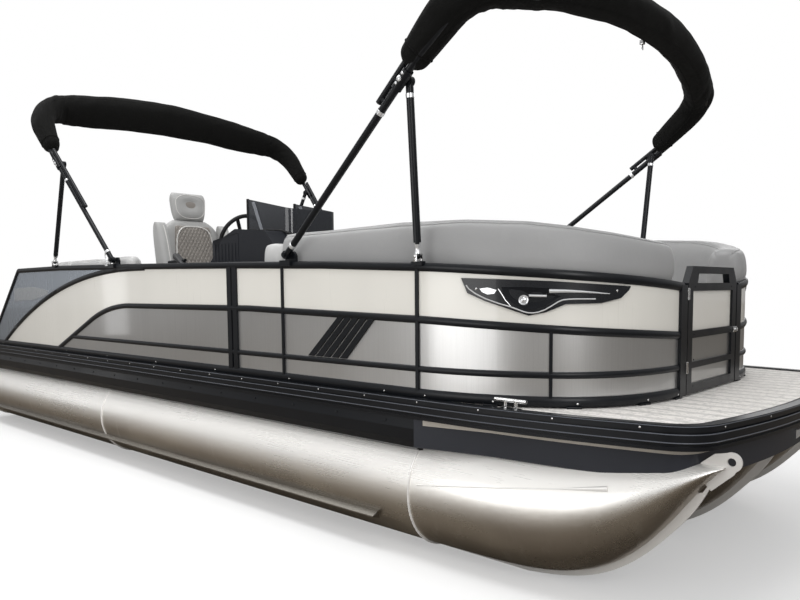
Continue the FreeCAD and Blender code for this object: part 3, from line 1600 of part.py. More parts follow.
class Hoop:
    """A canopy hoop raked from its pivots, towards the bow or towards the stern."""

    def __init__(self, name, pivot, rake, knuckle, bow, boot, strut_end):
        self.name = name
        self.pivot = Vector(behind(pivot[0]).value, 0, pivot[1].value)
        direction, degrees = rake
        angle = math.radians(degrees)
        self.along = Vector(direction * math.cos(angle), 0, math.sin(angle))
        self.across = Vector(0, 1, 0)
        self.normal = Vector(-direction * math.sin(angle), 0, math.cos(angle))
        self.knuckle, self.spread = knuckle[0].value, knuckle[1].value
        self.reach, self.crown_radius, self.crown_slope, self.corner = bow
        self.boot_lift, self.boot_inset, self.boot_sections = boot
        self.strut_end = strut_end
        self.half = D.hoop_half.value
        self.shoulder_half = self.spread + 10

    def place(self, reach, across, lift=0.0):
        point = self.pivot + self.along * reach + self.across * across + self.normal * lift
        return (point.x, point.y, point.z)

    def bow_points(self, lift=0.0, inset=0.0):
        """Leg ends, shoulders and the crowned middle of the hoop."""
        half = self.shoulder_half - inset
        slope = math.radians(self.crown_slope)
        peak = self.reach + self.crown_radius * (1 / math.cos(slope) - 1)
        shoulder = peak - half * math.tan(slope)
        return [
            self.place(0, -self.half, lift),
            self.place(self.knuckle + 120, -half, lift),
            self.place(shoulder, -half, lift),
            self.place(peak, 0, lift),
            self.place(shoulder, half, lift),
            self.place(self.knuckle + 120, half, lift),
            self.place(0, self.half, lift),
        ]

    def path(self):
        crown, corner = self.crown_radius, self.corner
        return rounded_path(self.bow_points(), [900, corner, crown, corner, 900])

    def leg_half(self, reach):
        """Half width of the hoop at a reach below its knuckle."""
        return self.half + (self.shoulder_half - self.half) * reach / (self.knuckle + 120)

    def frame(self):
        """Hoop tube with an eye at each pivot, and the second bow that lies along each leg."""
        shapes = [tube_along(self.path(), D.hoop_tube.value)]
        lift = D.strut_lift.value
        for side in (-1, 1):
            eye = Part.makeCylinder(
                PIVOT_EYE, 30, Vector(self.pivot.x, side * self.half - 15, self.pivot.z), ACROSS
            )
            knuckle_half = side * self.leg_half(self.knuckle)
            collar_low = Vector(*self.place(self.knuckle - 55, side * self.leg_half(self.knuckle - 55)))
            collar_high = Vector(*self.place(self.knuckle + 55, side * self.leg_half(self.knuckle + 55)))
            run = collar_high - collar_low
            collar = Part.makeCylinder(26, run.Length, collar_low, run)
            knuckle = Vector(*self.place(self.knuckle, knuckle_half))
            pin = Part.makeCylinder(KNUCKLE_PIN, BRACE_GAP + 16, knuckle, Vector(0, -side, 0))
            low = Vector(*self.place(self.strut_end, side * self.leg_half(self.strut_end), lift))
            high_reach = self.knuckle + 120
            high = Vector(*self.place(high_reach, side * self.shoulder_half, lift))
            strut_run = high - low
            strut = Part.makeCylinder(D.strut_tube.value, strut_run.Length, low, strut_run)
            shapes += [eye, collar, pin, strut]
            for reach in (self.strut_end + 32, self.knuckle - 28):
                link_start = Vector(*self.place(reach, side * self.leg_half(reach)))
                shapes.append(Part.makeCylinder(13, lift, link_start, self.normal))
        bore = Part.makeCylinder(
            PIVOT_PIN + FIT, 4000, Vector(self.pivot.x, -2000, self.pivot.z), ACROSS
        )
        return joined(shapes).cut(bore)

    def boot(self):
        """Stowed canopy in its boot: an oval roll, slim at its ends and full across the bow."""
        points = self.bow_points(self.boot_lift, self.boot_inset)
        low = self.knuckle + 48
        ends = [
            self.place(low, side * (self.leg_half(low) - self.boot_inset / 2), self.boot_lift * 0.6)
            for side in (-1, 1)
        ]
        path = rounded_path(
            [ends[0], points[2], points[3], points[4], ends[1]],
            [self.corner, self.crown_radius, self.corner],
        )
        count = 400
        spots = path.discretize(Number=count + 1)
        sections = []
        for index in range(0, count + 1, count // BOOT_RIBS):
            before, after = spots[max(index - 1, 0)], spots[min(index + 1, count)]
            side = self.normal.cross(after - before).normalize()
            wide, deep = self.boot_size(index / count)
            sections.append(oval(spots[index], side, self.normal, wide, deep))
        return Part.makeLoft(sections, True, False).cut(self.frame())

    def boot_size(self, share):
        """Width and depth of the boot at a share of its length, which is the same from both ends."""
        end, full, middle = self.boot_sections
        share = min(share, 1 - share)
        if share < BOOT_SHOULDER:
            ease = math.sin(math.pi / 2 * share / BOOT_SHOULDER)
            return tuple(a + (b - a) * ease for a, b in zip(end, full))
        ease = (share - BOOT_SHOULDER) / (0.5 - BOOT_SHOULDER)
        return tuple(a + (b - a) * ease for a, b in zip(full, middle))

    def brace(self, foot, side):
        """Prop from the rail up to the knuckle, beside the leg."""
        top = Vector(*self.place(self.knuckle, side * (self.leg_half(self.knuckle) - BRACE_GAP)))
        foot = Vector(behind(foot[0]).value, side * self.half, foot[1])
        direction = foot - top
        rod_start = top + direction.normalize() * 4
        length = (foot - rod_start).Length
        rod = Part.makeCylinder(D.brace_tube.value, length - 70, rod_start, direction)
        neck = Part.makeCylinder(11, length, rod_start, direction)
        eye = Part.makeCylinder(KNUCKLE_EYE, 26, Vector(top.x, top.y - 13, top.z), ACROSS)
        shoe = Part.makeSphere(15, foot - direction * 4)
        bore = Part.makeCylinder(
            KNUCKLE_PIN + FIT, 60, Vector(top.x, top.y - 30, top.z), ACROSS
        )
        return joined([rod, neck, eye, shoe]).cut(bore)


HOOPS = [
    Hoop(
        "front",
        (D.front_pivot_x, D.front_pivot_z),
        (1, FRONT_RAKE),
        (D.front_knuckle, D.front_spread),
        (D.front_reach.value, 3650, 18, 250),
        (66, 40, [(130, 140), (190, 182), (190, 188)]),
        1115,
    ),
    Hoop(
        "rear",
        (D.rear_pivot_x, D.rear_pivot_z),
        (-1, REAR_RAKE),
        (D.rear_knuckle, D.rear_spread),
        (D.rear_reach.value, 3900, 17, 330),
        (28, 20, [(120, 140), (190, 210), (240, 222)]),
        540,
    ),
]
# where the brace feet stand: distance behind the stem, height, and the height of the saddle's base
BRACE_FEET = {"front": (1384, 1542, 1500), "rear": (5689, 1642, 1600)}
for hoop in HOOPS:
    export(f"{hoop.name}_hoop", feature(f"{hoop.name}_hoop", hoop.frame()))
    export(f"{hoop.name}_boot", feature(f"{hoop.name}_boot", hoop.boot()))
    braces = [hoop.brace(BRACE_FEET[hoop.name], side) for side in (-1, 1)]
    export(f"{hoop.name}_braces", feature(f"{hoop.name}_braces", Part.Compound(braces)))

# Mounts on the top rail: a cheek and pin for each hoop leg, and a saddle under each brace foot


def leg_mount(hoop, side):
    """Base on the rail with a cheek inboard of the leg's eye, and the pin through the eye."""
    x, z, half = hoop.pivot.x, hoop.pivot.z, hoop.half
    low = z - PIVOT_EYE - 40
    base = Part.makeBox(96, 62, 40 - 8, Vector(x - 48, -half - 18, low))
    cheek = Part.makeBox(96, 16, z + 20 - low, Vector(x - 48, -half + 28, low))
    nose = Part.makeCylinder(48, 16, Vector(x, -half + 28, z - 20), ACROSS)
    pin = Part.makeCylinder(PIVOT_PIN, 70, Vector(x, -half + 40, z), OUT)
    cap = Part.makeCylinder(15, 6, Vector(x, -half - 22, z), OUT)
    shape = joined([base, cheek.common(nose.fuse(Part.makeBox(96, 16, 60, Vector(x - 48, -half + 28, low)))), pin, cap])
    return shape if side < 0 else on_port(shape)


mount_shapes = []
for hoop in HOOPS:
    for side in (-1, 1):
        rails = side_shapes + bow_shapes
        if side > 0:
            rails = [on_port(shape) for shape in rails]
        mount_shapes.append(leg_mount(hoop, side).cut(rails))
        foot_x, foot_z, base_z = BRACE_FEET[hoop.name]
        top_z = foot_z - 22
        saddle = Part.makeBox(
            70, 30, top_z - base_z, Vector(behind(foot_x).value - 35, side * hoop.half - 15, base_z)
        )
        mount_shapes.append(saddle.cut(rails))
export("hoop_mounts", feature("hoop_mounts", Part.Compound(mount_shapes)))

# Cleats on the deck edge

cleats = []
for distance, side in ((880, -1), (880, 1), (7560, -1), (7560, 1)):
    x = behind(distance).value
    y = side * 1210
    z = D.deck_top.value
    horn = Part.makeCylinder(9, 170, Vector(x - 85, y, z + 40), Vector(1, 0, 0))
    legs = [Part.makeCylinder(8, 40, Vector(x + dx, y, z), UP) for dx in (-28, 28)]
    foot = Part.makeBox(110, 34, 5, Vector(x - 55, y - 17, z))
    cleats.append(joined([horn, foot] + legs))
export("cleats", feature("cleats", Part.Compound(cleats)))

# Motor pod behind the centre tube, and the engine on its tilt axis

tilt_x, tilt_z = behind(D.tilt_x), D.tilt_z
TILT_PIN, KING_PIN = 14, 22
pod_profile = [
    (behind(D.tube_length), 120),
    (behind(D.tube_length), 740),
    (tilt_x + 120, 740),
    (tilt_x + 90, 800),
    (tilt_x + 50, 800),
    (tilt_x + 50, 300),
    (tilt_x + 130, 180),
]
motor_pod = prism("motor_pod", "XZ_Plane", [pod_profile], 420, both=True)
export("motor_pod", motor_pod)

clamp_profile = [
    (tilt_x + 49, tilt_z - 200),
    (tilt_x + 49, tilt_z + 8),
    (tilt_x + 30, tilt_z + 34),
    (tilt_x - 26, tilt_z + 30),
    (tilt_x - 34, tilt_z - 20),
    (tilt_x + 10, tilt_z - 200),
]
clamp_sides = [
    prism(f"clamp_side_{index}", "XZ_Plane", [clamp_profile], 22, both=True, offset=dim(across))
    for index, across in enumerate((-150, 150))
]
clamp_back = box(
    "clamp_back",
    (tilt_x + 37, -140, tilt_z - 190),
    (tilt_x + 49, 140, tilt_z - 60),
)
tilt_tube = cylinder("tilt_tube", TILT_PIN, 330, (tilt_x, -165, tilt_z), (0, 1, 0))
export("clamp_bracket", fuse("clamp_bracket", clamp_sides + [clamp_back, tilt_tube]))

ENGINE_POSE = Placement(
    Vector(tilt_x.value, 0, tilt_z.value), Rotation(Vector(0, 1, 0), ENGINE_TILT)
)


def engine_solid(shape):
    """Engine pieces are drawn running upright about the tilt axis, then tilted up as stored."""
    shape = shape.copy()
    shape.transformShape(ENGINE_POSE.toMatrix())
    return shape


def engine_outline(points, half_width):
    """Prism across the engine from a side outline, aft being negative."""
    face = Part.Face(wire([(x, -half_width, z) for x, z in points], True))
    return face.extrude(Vector(0, 2 * half_width, 0))


STEER_X = -95
swivel = engine_outline([(28, 26), (-20, 30), (-60, 40), (-60, -330), (-38, -330), (-30, -60), (28, -26)], 118)
swivel = swivel.cut(Part.makeCylinder(TILT_PIN + FIT, 400, Vector(0, -200, 0), Vector(0, 1, 0)))
swivel_tube = Part.makeCylinder(40, 390, Vector(STEER_X, 0, -340), UP)
swivel_shape = joined([swivel, swivel_tube]).cut(
    Part.makeCylinder(KING_PIN + FIT, 420, Vector(STEER_X, 0, -350), UP)
)
export("swivel_bracket", feature("swivel_bracket", engine_solid(swivel_shape)))

PROP_Z = -800
PLATE_Z = -606
leg_points = [
    (STEER_X + 30, -352),
    (STEER_X + 38, -520),
    (STEER_X + 22, -620),
    (STEER_X - 6, PROP_Z + 20),
    (STEER_X - 30, PROP_Z - 40),
    (STEER_X - 190, PROP_Z - 40),
    (STEER_X - 225, PROP_Z + 40),
    (STEER_X - 228, PLATE_Z - 40),
    (STEER_X - 300, PLATE_Z - 6),
    (STEER_X - 300, PLATE_Z + 10),
    (STEER_X - 200, PLATE_Z + 60),
    (STEER_X - 160, -352),
]
leg_shape = engine_outline(leg_points, 38)
gearcase = Part.makeCylinder(52, 330, Vector(STEER_X - 235, 0, PROP_Z), Vector(1, 0, 0))
gear_nose = Part.makeSphere(52, Vector(STEER_X + 95, 0, PROP_Z))
plate = engine_outline(
    [
        (STEER_X + 20, PLATE_Z),
        (STEER_X - 350, PLATE_Z),
        (STEER_X - 350, PLATE_Z - 10),
        (STEER_X + 20, PLATE_Z - 10),
    ],
    110,
)
king_pin = Part.makeCylinder(KING_PIN, 440, Vector(STEER_X, 0, -372), UP)
upper = Part.makeBox(240, 200, 50, Vector(STEER_X - 200, -100, 60))
lower_mount = Part.makeBox(150, 130, 40, Vector(STEER_X - 110, -65, -392))
skeg = engine_outline(
    [
        (STEER_X - 20, PROP_Z - 30),
        (STEER_X - 70, PROP_Z - 190),
        (STEER_X - 165, PROP_Z - 190),
        (STEER_X - 160, PROP_Z - 30),
    ],
    7,
)
midsection = engine_outline(
    [(STEER_X - 46, 110), (STEER_X - 50, -352), (STEER_X - 160, -352), (STEER_X - 200, 110)], 62
)
engine_leg = joined(
    [leg_shape, gearcase, gear_nose, plate, king_pin, upper, lower_mount, skeg, midsection]
)
export("engine_leg", feature("engine_leg", engine_solid(engine_leg)))

cowl_outline = [
    (STEER_X + 130, 110),
    (STEER_X + 165, 250),
    (STEER_X + 150, 560),
    (STEER_X + 90, 660),
    (STEER_X - 60, 700),
    (STEER_X - 330, 670),
    (STEER_X - 430, 600),
    (STEER_X - 455, 420),
    (STEER_X - 420, 200),
    (STEER_X - 340, 110),
]


def cowl_shell():
    """Hollow cowl with rounded edges, open only inside."""
    outer = engine_outline(cowl_outline, 215)
    outer = outer.makeFillet(70, [e for e in outer.Edges if not along(e, Vector(0, 1, 0)) and e.CenterOfMass.z > 230])
    inner = engine_outline(
        [(STEER_X + (x - STEER_X) * 0.93 - 6, 130 + (z - 110) * 0.92) for x, z in cowl_outline], 196
    )
    return outer.cut(inner)


export("engine_cowl", feature("engine_cowl", engine_solid(cowl_shell())))
powerhead = Part.makeBox(430, 300, 430, Vector(STEER_X - 340, -150, 150))
export("powerhead", feature("powerhead", engine_solid(powerhead)))

PROP_X = STEER_X - 240


def propeller():
    """Three swept blades on a barrel hub."""
    hub = Part.makeCylinder(44, 95, Vector(PROP_X, 0, PROP_Z), Vector(-1, 0, 0))
    shapes = [hub]
    for index in range(3):
        blade = Part.makeCylinder(60, 7, Vector(0, 0, 0), Vector(1, 0, 0))
        blade.translate(Vector(-3.5, 0, 0))
        matrix = FreeCAD.Matrix()
        matrix.scale(1.0, 1.0, 1.15)
        blade = blade.transformGeometry(matrix)
        blade.translate(Vector(0, 0, 104))
        blade.rotate(Vector(0, 0, 0), UP, 28)
        blade.rotate(Vector(0, 0, 0), Vector(1, 0, 0), 120 * index)
        blade.translate(Vector(PROP_X - 50, 0, PROP_Z))
        shapes.append(blade)
    return joined(shapes)


export("propeller", feature("propeller", engine_solid(propeller())))

# Boarding ladder, folded forward onto the swim deck and hinged at its aft edge

LADDER_X, LADDER_Z = behind(D.deck_aft).value - 46, D.deck_top.value + 38
LADDER_Y, LADDER_HALF = 850, 170
LADDER_PIN = 10
ladder_shapes = []
for side in (-1, 1):
    y = LADDER_Y + side * LADDER_HALF
    stile = rounded_path(
        [
            (LADDER_X, y, LADDER_Z),
            (LADDER_X + 500, y, LADDER_Z),
            (LADDER_X + 900, y, LADDER_Z - 8),
        ],
        [900],
    )
    ladder_shapes.append(tube_along(stile, 13))
for step in range(4):
    ladder_shapes.append(
        Part.makeBox(
            60,
            2 * LADDER_HALF,
            20,
            Vector(LADDER_X + 130 + 240 * step, LADDER_Y - LADDER_HALF, LADDER_Z - 10),
        )
    )
ladder_shapes.append(
    Part.makeCylinder(
        LADDER_PIN, 434, Vector(LADDER_X, LADDER_Y - 217, LADDER_Z), Vector(0, 1, 0)
    )
)
export("ladder", feature("ladder", joined(ladder_shapes)))
hinges = []
for side in (-1, 1):
    y = LADDER_Y + side * 204
    outline = [
        (LADDER_X - 20, y - 6, LADDER_Z + 18),
        (LADDER_X + 20, y - 6, LADDER_Z + 18),
        (LADDER_X + 110, y - 6, D.rub_top.value + 12),
        (LADDER_X + 110, y - 6, D.rub_top.value),
        (LADDER_X - 20, y - 6, D.rub_top.value),
    ]
    plate = Part.Face(wire(outline, True)).extrude(Vector(0, 12, 0))
    hole = Part.makeCylinder(
        LADDER_PIN + FIT, 40, Vector(LADDER_X, y - 20, LADDER_Z), Vector(0, 1, 0)
    )
    hinges.append(plate.cut(hole))
export("ladder_hinges", feature("ladder_hinges", Part.Compound(hinges)))

# Checks before writing: no failed object, and every sub-part a valid closed shape

doc.recompute()
for thing in doc.Objects:
    bad = [state for state in thing.State if state in ("Invalid", "Error")]
    if bad:
        raise RuntimeError(f"{thing.Label} is {bad}")
os.makedirs("parts", exist_ok=True)
for label, thing in EXPORTS.items():
    shape = thing.Shape
    if shape.isNull() or not shape.isValid() or not shape.Solids:
        raise RuntimeError(f"{label} has no valid solid")
    shape.exportStep(f"parts/{label}.step")
    bounds = shape.optimalBoundingBox(True, False)
    print(
        f"{label}: {len(shape.Solids)} solids, {shape.Volume / 1e9:.4f} m3, "
        f"x {bounds.XMin:.0f} to {bounds.XMax:.0f}, y {bounds.YMin:.0f} to {bounds.YMax:.0f}, "
        f"z {bounds.ZMin:.0f} to {bounds.ZMax:.0f}"
    )
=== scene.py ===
"""Finishes, soft goods and fittings of a pontoon boat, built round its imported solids."""

from __future__ import annotations

import logging
import math
from dataclasses import dataclass
from enum import Enum
from typing import Callable, Dict, Iterable, List, Optional, Sequence, Tuple, Union

import bmesh
import bpy
from mathutils import Matrix, Vector, noise
from mathutils.bvhtree import BVHTree


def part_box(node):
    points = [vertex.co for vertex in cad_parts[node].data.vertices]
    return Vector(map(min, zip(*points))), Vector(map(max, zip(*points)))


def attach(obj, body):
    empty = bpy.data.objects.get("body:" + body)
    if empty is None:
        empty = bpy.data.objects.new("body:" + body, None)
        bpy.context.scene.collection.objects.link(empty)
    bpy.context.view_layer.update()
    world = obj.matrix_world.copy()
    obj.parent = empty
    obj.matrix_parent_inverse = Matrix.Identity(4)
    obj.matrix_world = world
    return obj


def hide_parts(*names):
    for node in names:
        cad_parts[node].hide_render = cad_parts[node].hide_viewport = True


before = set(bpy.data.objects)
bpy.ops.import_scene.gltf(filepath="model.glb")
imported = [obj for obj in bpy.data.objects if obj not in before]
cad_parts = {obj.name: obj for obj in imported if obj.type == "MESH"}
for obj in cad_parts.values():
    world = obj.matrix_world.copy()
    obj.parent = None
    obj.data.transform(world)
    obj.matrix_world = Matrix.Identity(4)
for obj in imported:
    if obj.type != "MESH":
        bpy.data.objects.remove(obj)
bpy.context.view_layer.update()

LOG = logging.getLogger("pontoon_boat")

Colour = Tuple[float, float, float, float]
Point = Tuple[float, float, float]
Pair = Tuple[float, float]
Line = Sequence[Vector]

STEM = 4.558
DECK_TOP = 0.838
FENCE_HALF = 1.250
FULL = 2 * math.pi
UP = Vector((0.0, 0.0, 1.0))
OUTBOARD = Vector((0.0, -1.0, 0.0))
ACROSS = Vector((0.0, 1.0, 0.0))
FORWARD = Vector((1.0, 0.0, 0.0))
WHITE: Colour = (1.0, 1.0, 1.0, 1.0)
SIDES = ((-1, "starboard"), (1, "port"))


def aft(distance: float) -> float:
    """X of a place that lies a distance behind the stem."""
    return STEM - distance


def spot(distance: float, y: float, z: float) -> Vector:
    """Point by its distance behind the stem, its place across and its height."""
    return Vector((aft(distance), y, z))


def spots(*rows: Point) -> Line:
    """Points by their distances behind the stem, places across and heights."""
    return [spot(*row) for row in rows]


def length_of(line: Line) -> float:
    """Length of a line of points."""
    return sum((b - a).length for a, b in zip(line, line[1:]))


def soft_step(value: float) -> float:
    """Smooth step from 0 to 1 of a value that is clamped to them."""
    value = min(max(value, 0.0), 1.0)
    return value * value * (3 - 2 * value)


class Slot(Enum):
    """Material slots of the part's record."""

    TUBE = "tube_metal"
    TRIM = "trim_black"
    RAIL = "rail_black"
    TINTED = "panel_tinted"
    LAMP = "lamp_dark"
    BASE = "base_plastic"
    VINYL_LIGHT = "vinyl_light"
    VINYL_GREY = "vinyl_grey"
    CONSOLE = "console_shell"
    WHEEL = "wheel_black"
    STAINLESS = "stainless"
    CANVAS = "canvas_black"
    ENGINE = "engine_black"


# ---------------------------------------------------------------- shader maths


def operator(operation: str, turned: bool = False) -> Callable[[Sock, Term], Sock]:
    """Makes the method of one of a socket's operators.

    Args:
        operation: The Math node's operation.
        turned: Whether the socket is the second term.

    Returns:
        The method.
    """

    def method(self: Sock, other: Term) -> Sock:
        """Adds the Math node."""
        return self.math(operation, *((other, self) if turned else (self, other)))

    return method


class Sock:
    """A shader socket whose operators add Math nodes to its graph."""

    def __init__(self, graph: Graph, socket: Optional[bpy.types.NodeSocket]) -> None:
        """Keeps the socket and the graph it belongs to."""
        self.graph = graph
        self.socket = socket

    def math(self, operation: str, *terms: Term) -> Sock:
        """Output of a new Math node of an operation on values or sockets."""
        return self.graph.add("ShaderNodeMath", {"operation": operation}, dict(enumerate(terms)))

    __add__ = __radd__ = operator("ADD")
    __mul__ = __rmul__ = operator("MULTIPLY")
    __sub__, __rsub__ = operator("SUBTRACT"), operator("SUBTRACT", True)
    __truediv__ = operator("DIVIDE")
    __pow__ = operator("POWER")

    def floor(self) -> Sock:
        """This value without its fraction."""
        return self.math("FLOOR", self)

    def wave(self, pitch: float) -> Sock:
        """Sine from 0 to 1 that repeats every pitch."""
        return self.math("SINE", self * (FULL / pitch)) * 0.5 + 0.5

    def span(self, low: float, high: float) -> Sock:
        """Maps low to high onto 0 to 1 with a soft step."""
        inputs = {0: self, 1: low, 2: high, 3: 0.0, 4: 1.0}
        return self.graph.add("ShaderNodeMapRange", {"interpolation_type": "SMOOTHSTEP"}, inputs)


Term = Union[Sock, float]


class Graph:
    """Node tree of one finish."""

    def __init__(self, tree: bpy.types.NodeTree) -> None:
        """Empties the tree and keeps it."""
        self.tree = tree
        tree.nodes.clear()

    def add(
        self, kind: str, settings: Optional[Dict[str, object]] = None,
        inputs: Optional[Dict[Union[str, int], object]] = None, out: int = 0
    ) -> Sock:
        """Adds a node.

        Args:
            kind: The node's type.
            settings: Properties that are set first.
            inputs: Values or links by socket name or number.
            out: Number of the output that is returned.

        Returns:
            The chosen output.
        """
        node = self.tree.nodes.new(kind)
        for name, value in (settings or {}).items():
            setattr(node, name, value)
        for key, value in (inputs or {}).items():
            if isinstance(value, Sock):
                self.tree.links.new(value.socket, node.inputs[key])
            else:
                node.inputs[key].default_value = value
        return Sock(self, node.outputs[out] if len(node.outputs) else None)

    def place(self) -> Sock:
        """Object coordinates in metres, which are the boat's own."""
        return self.add("ShaderNodeTexCoord", out=3)

    def facing_up(self) -> Sock:
        """How much the surface faces up, -1 to 1."""
        return self.axes(self.add("ShaderNodeTexCoord", out=1))[2]

    def axes(self, vector: Sock) -> Tuple[Sock, Sock, Sock]:
        """The three parts of a vector."""
        node = self.add("ShaderNodeSeparateXYZ", {}, {0: vector}).socket.node
        return Sock(self, node.outputs[0]), Sock(self, node.outputs[1]), Sock(self, node.outputs[2])

    def noise(
        self, size: float, detail: float = 3.0, stretch: Point = (1.0, 1.0, 1.0), rough: float = 0.5
    ) -> Sock:
        """Noise from 0 to 1 at a real size.

        Args:
            size: Size of its blotches in metres.
            detail: Octaves.
            stretch: How much longer the blotches are along each axis.
            rough: Weight of the finer octaves.

        Returns:
            The noise value.
        """
        shrink = {0: self.place(), 3: tuple(1.0 / value for value in stretch)}
        scaled = self.add("ShaderNodeMapping", {"vector_type": "POINT"}, shrink)
        inputs = {"Vector": scaled, "Scale": 1.0 / size, "Detail": detail, "Roughness": rough}
        return self.add("ShaderNodeTexNoise", {}, inputs)

    def cells(self, size: float, feature: str = "F1") -> Sock:
        """Distance within cells of a real size."""
        inputs = {"Vector": self.place(), "Scale": 1.0 / size}
        return self.add("ShaderNodeTexVoronoi", {"feature": feature}, inputs)

    def mix(self, factor: Term, low: object, high: object) -> Sock:
        """Colour between two colours by the share of the second."""
        return self.add("ShaderNodeMix", {"data_type": "RGBA"}, {0: factor, 6: low, 7: high}, out=2)

    def bump(self, height: Sock, depth: float, under: Optional[Sock] = None) -> Sock:
        """Normal raised by a height of 0 to 1.

        Args:
            height: The height.
            depth: Height of 1 in metres.
            under: Normal to start from.

        Returns:
            The bumped normal.
        """
        inputs: Dict[Union[str, int], object] = {"Height": height, "Distance": depth}
        if under is not None:
            inputs["Normal"] = under
        return self.add("ShaderNodeBump", {}, inputs)


# ------------------------------------------------------------------- finishes


@dataclass(frozen=True)
class Finish:
    """A finish by name, with its main colour and roughness."""

    name: str
    colour: Colour
    roughness: float

    def make(self) -> bpy.types.Material:
        """Returns the finish's material, made the first time it is asked for."""
        found = bpy.data.materials.get(self.name)
        if found is not None:
            return found
        material = bpy.data.materials.new(self.name)
        material.use_nodes = True
        material.diffuse_color = self.colour
        graph = Graph(material.node_tree)
        shader = graph.add("ShaderNodeBsdfPrincipled", {}, self.paint(graph))
        graph.add("ShaderNodeOutputMaterial", {}, {0: shader})
        return material

    def shade(self, level: float) -> Colour:
        """The main colour at another level."""
        return tuple(part * level for part in self.colour[:3]) + (1.0,)

    def paint(self, graph: Graph) -> Dict[str, object]:
        """Inputs of the main shader, by socket name, from nodes that it adds to a graph."""
        return {"Base Color": self.colour, "Roughness": self.roughness}


@dataclass(frozen=True)
class MillMetal(Finish):
    """Rolled or brushed bare metal: drawn lines, clouding, painted shade below and optional painted highlights.
    """

    stretch: Point = (60.0, 1.0, 1.0)
    line: float = 0.006
    # Level of the painted shade on faces that turn down.
    under: float = 0.55
    # Warmth of the clouding and of the painted shade below.
    warm: float = 0.10
    metal: float = 1.0
    # Share of the painted lamp reflections.
    painted_lamp_glints: float = 0.0
    # Share of the painted highlight on faces that turn up.
    crown: float = 0.0

    def paint(self, graph: Graph) -> Dict[str, object]:
        """Drawn lines in roughness and bump over a clouded colour with painted shade and highlights."""
        lines = graph.noise(self.line, 2.0, self.stretch)
        clouds = graph.noise(0.35, 4.0, (2.5, 1.0, 1.0), 0.6)
        smears = graph.noise(0.09, 3.0, (0.6, 1.0, 3.5))
        worn = clouds.span(0.35, 0.7)
        base = graph.mix(worn * 0.45, self.colour, self.tone(0.78, self.warm))
        # Painted shade: faces that turn down get a darker, warmer colour.
        down = graph.facing_up().span(0.55, -0.80)
        base = graph.mix(down, base, self.tone(self.under, self.warm * 1.4))
        base = graph.mix(smears.span(0.55, 0.8) * 0.18, base, self.tone(1.1, 0.0))
        # Painted reflection: warm bright patches standing in for lamps seen in the metal.
        if self.painted_lamp_glints:
            lit = graph.noise(0.7, 2.0, (1.5, 1.0, 0.8)).span(0.50, 0.72)
            base = graph.mix(lit * self.painted_lamp_glints, base, (1.0, 0.955, 0.85, 1.0))
        metal: Term = self.metal
        # Painted highlight: faces that turn up get a whiter, less metallic colour, as if lit from above.
        if self.crown:
            up = graph.facing_up().span(-0.30, 0.50)
            base = graph.mix(up, base, (1.0, 0.985, 0.95, 1.0))
            metal = up * -self.crown + self.metal
        return {
            "Base Color": base,
            "Metallic": metal,
            "Roughness": lines * 0.14 + worn * 0.10 + (self.roughness - 0.10),
            "Normal": graph.bump(lines * 0.6 + clouds * 0.4, self.line * 0.008),
        }

    def tone(self, level: float, warm: float) -> Colour:
        """The main colour at another level and warmth."""
        red, green, blue = (min(part * level, 1.0) for part in self.colour[:3])
        return (min(red * (1 + warm), 1.0), green, blue * (1 - warm), 1.0)


@dataclass(frozen=True)
class GlossPanel(Finish):
    """Painted sheet: faint orange peel, a clear coat, and flake where it is metallic."""

    flake: float = 0.0
    metal: float = 0.0
    haze: float = 0.12
    cream_above: float = 0.0

    def paint(self, graph: Graph) -> Dict[str, object]:
        """Coated paint with slow shade changes and optional flake."""
        slow = graph.noise(0.34, 2.0, (1.0, 1.0, 6.0)).span(0.32, 0.68)
        drawn = graph.noise(0.004, 2.0, (1.0, 1.0, 70.0))
        base = graph.mix(slow * self.haze, self.colour, self.shade(0.8))
        metal: Term = self.metal
        if self.flake:
            sparkle = graph.cells(0.0016).span(0.1, 0.7)
            base = graph.mix(sparkle * self.flake, base, self.shade(1.2))
            base = graph.mix(drawn.span(0.4, 0.7) * self.flake, base, self.shade(0.88))
        if self.cream_above:
            high = graph.axes(graph.place())[2].span(self.cream_above - 0.001, self.cream_above)
            base = graph.mix(high, base, (0.76, 0.735, 0.68, 1.0))
            metal = (1 - high) * self.metal
        return {
            "Base Color": base,
            "Metallic": metal,
            "Roughness": drawn * 0.10 + slow * 0.05 + self.roughness,
            "Coat Weight": 0.6,
            "Coat Roughness": 0.06,
            "Normal": graph.bump(graph.noise(0.012, 2.0), 0.00015),
        }


@dataclass(frozen=True)
class PowderCoat(Finish):
    """Satin powder coat: fine grain, random dusty patches and a lighter colour on faces that turn up."""

    grain: float = 0.0022
    coat: float = 0.15

    def paint(self, graph: Graph) -> Dict[str, object]:
        """Fine grain with dusty patches."""
        grain = graph.noise(self.grain, 2.0)
        dust = graph.noise(0.22, 4.0, (2.0, 1.0, 1.0)).span(0.45, 0.8)
        # Lighter colour on faces that turn up.
        up = graph.facing_up().span(0.3, 1.0)
        return {
            "Base Color": graph.mix(dust * 0.3 + up * 0.25, self.colour, self.shade(1.9)),
            "Roughness": dust * 0.10 + grain * 0.08 + self.roughness,
            "Specular IOR Level": 0.26,
            "Coat Weight": self.coat,
            "Coat Roughness": 0.16,
            "Normal": graph.bump(grain, 0.00012),
        }


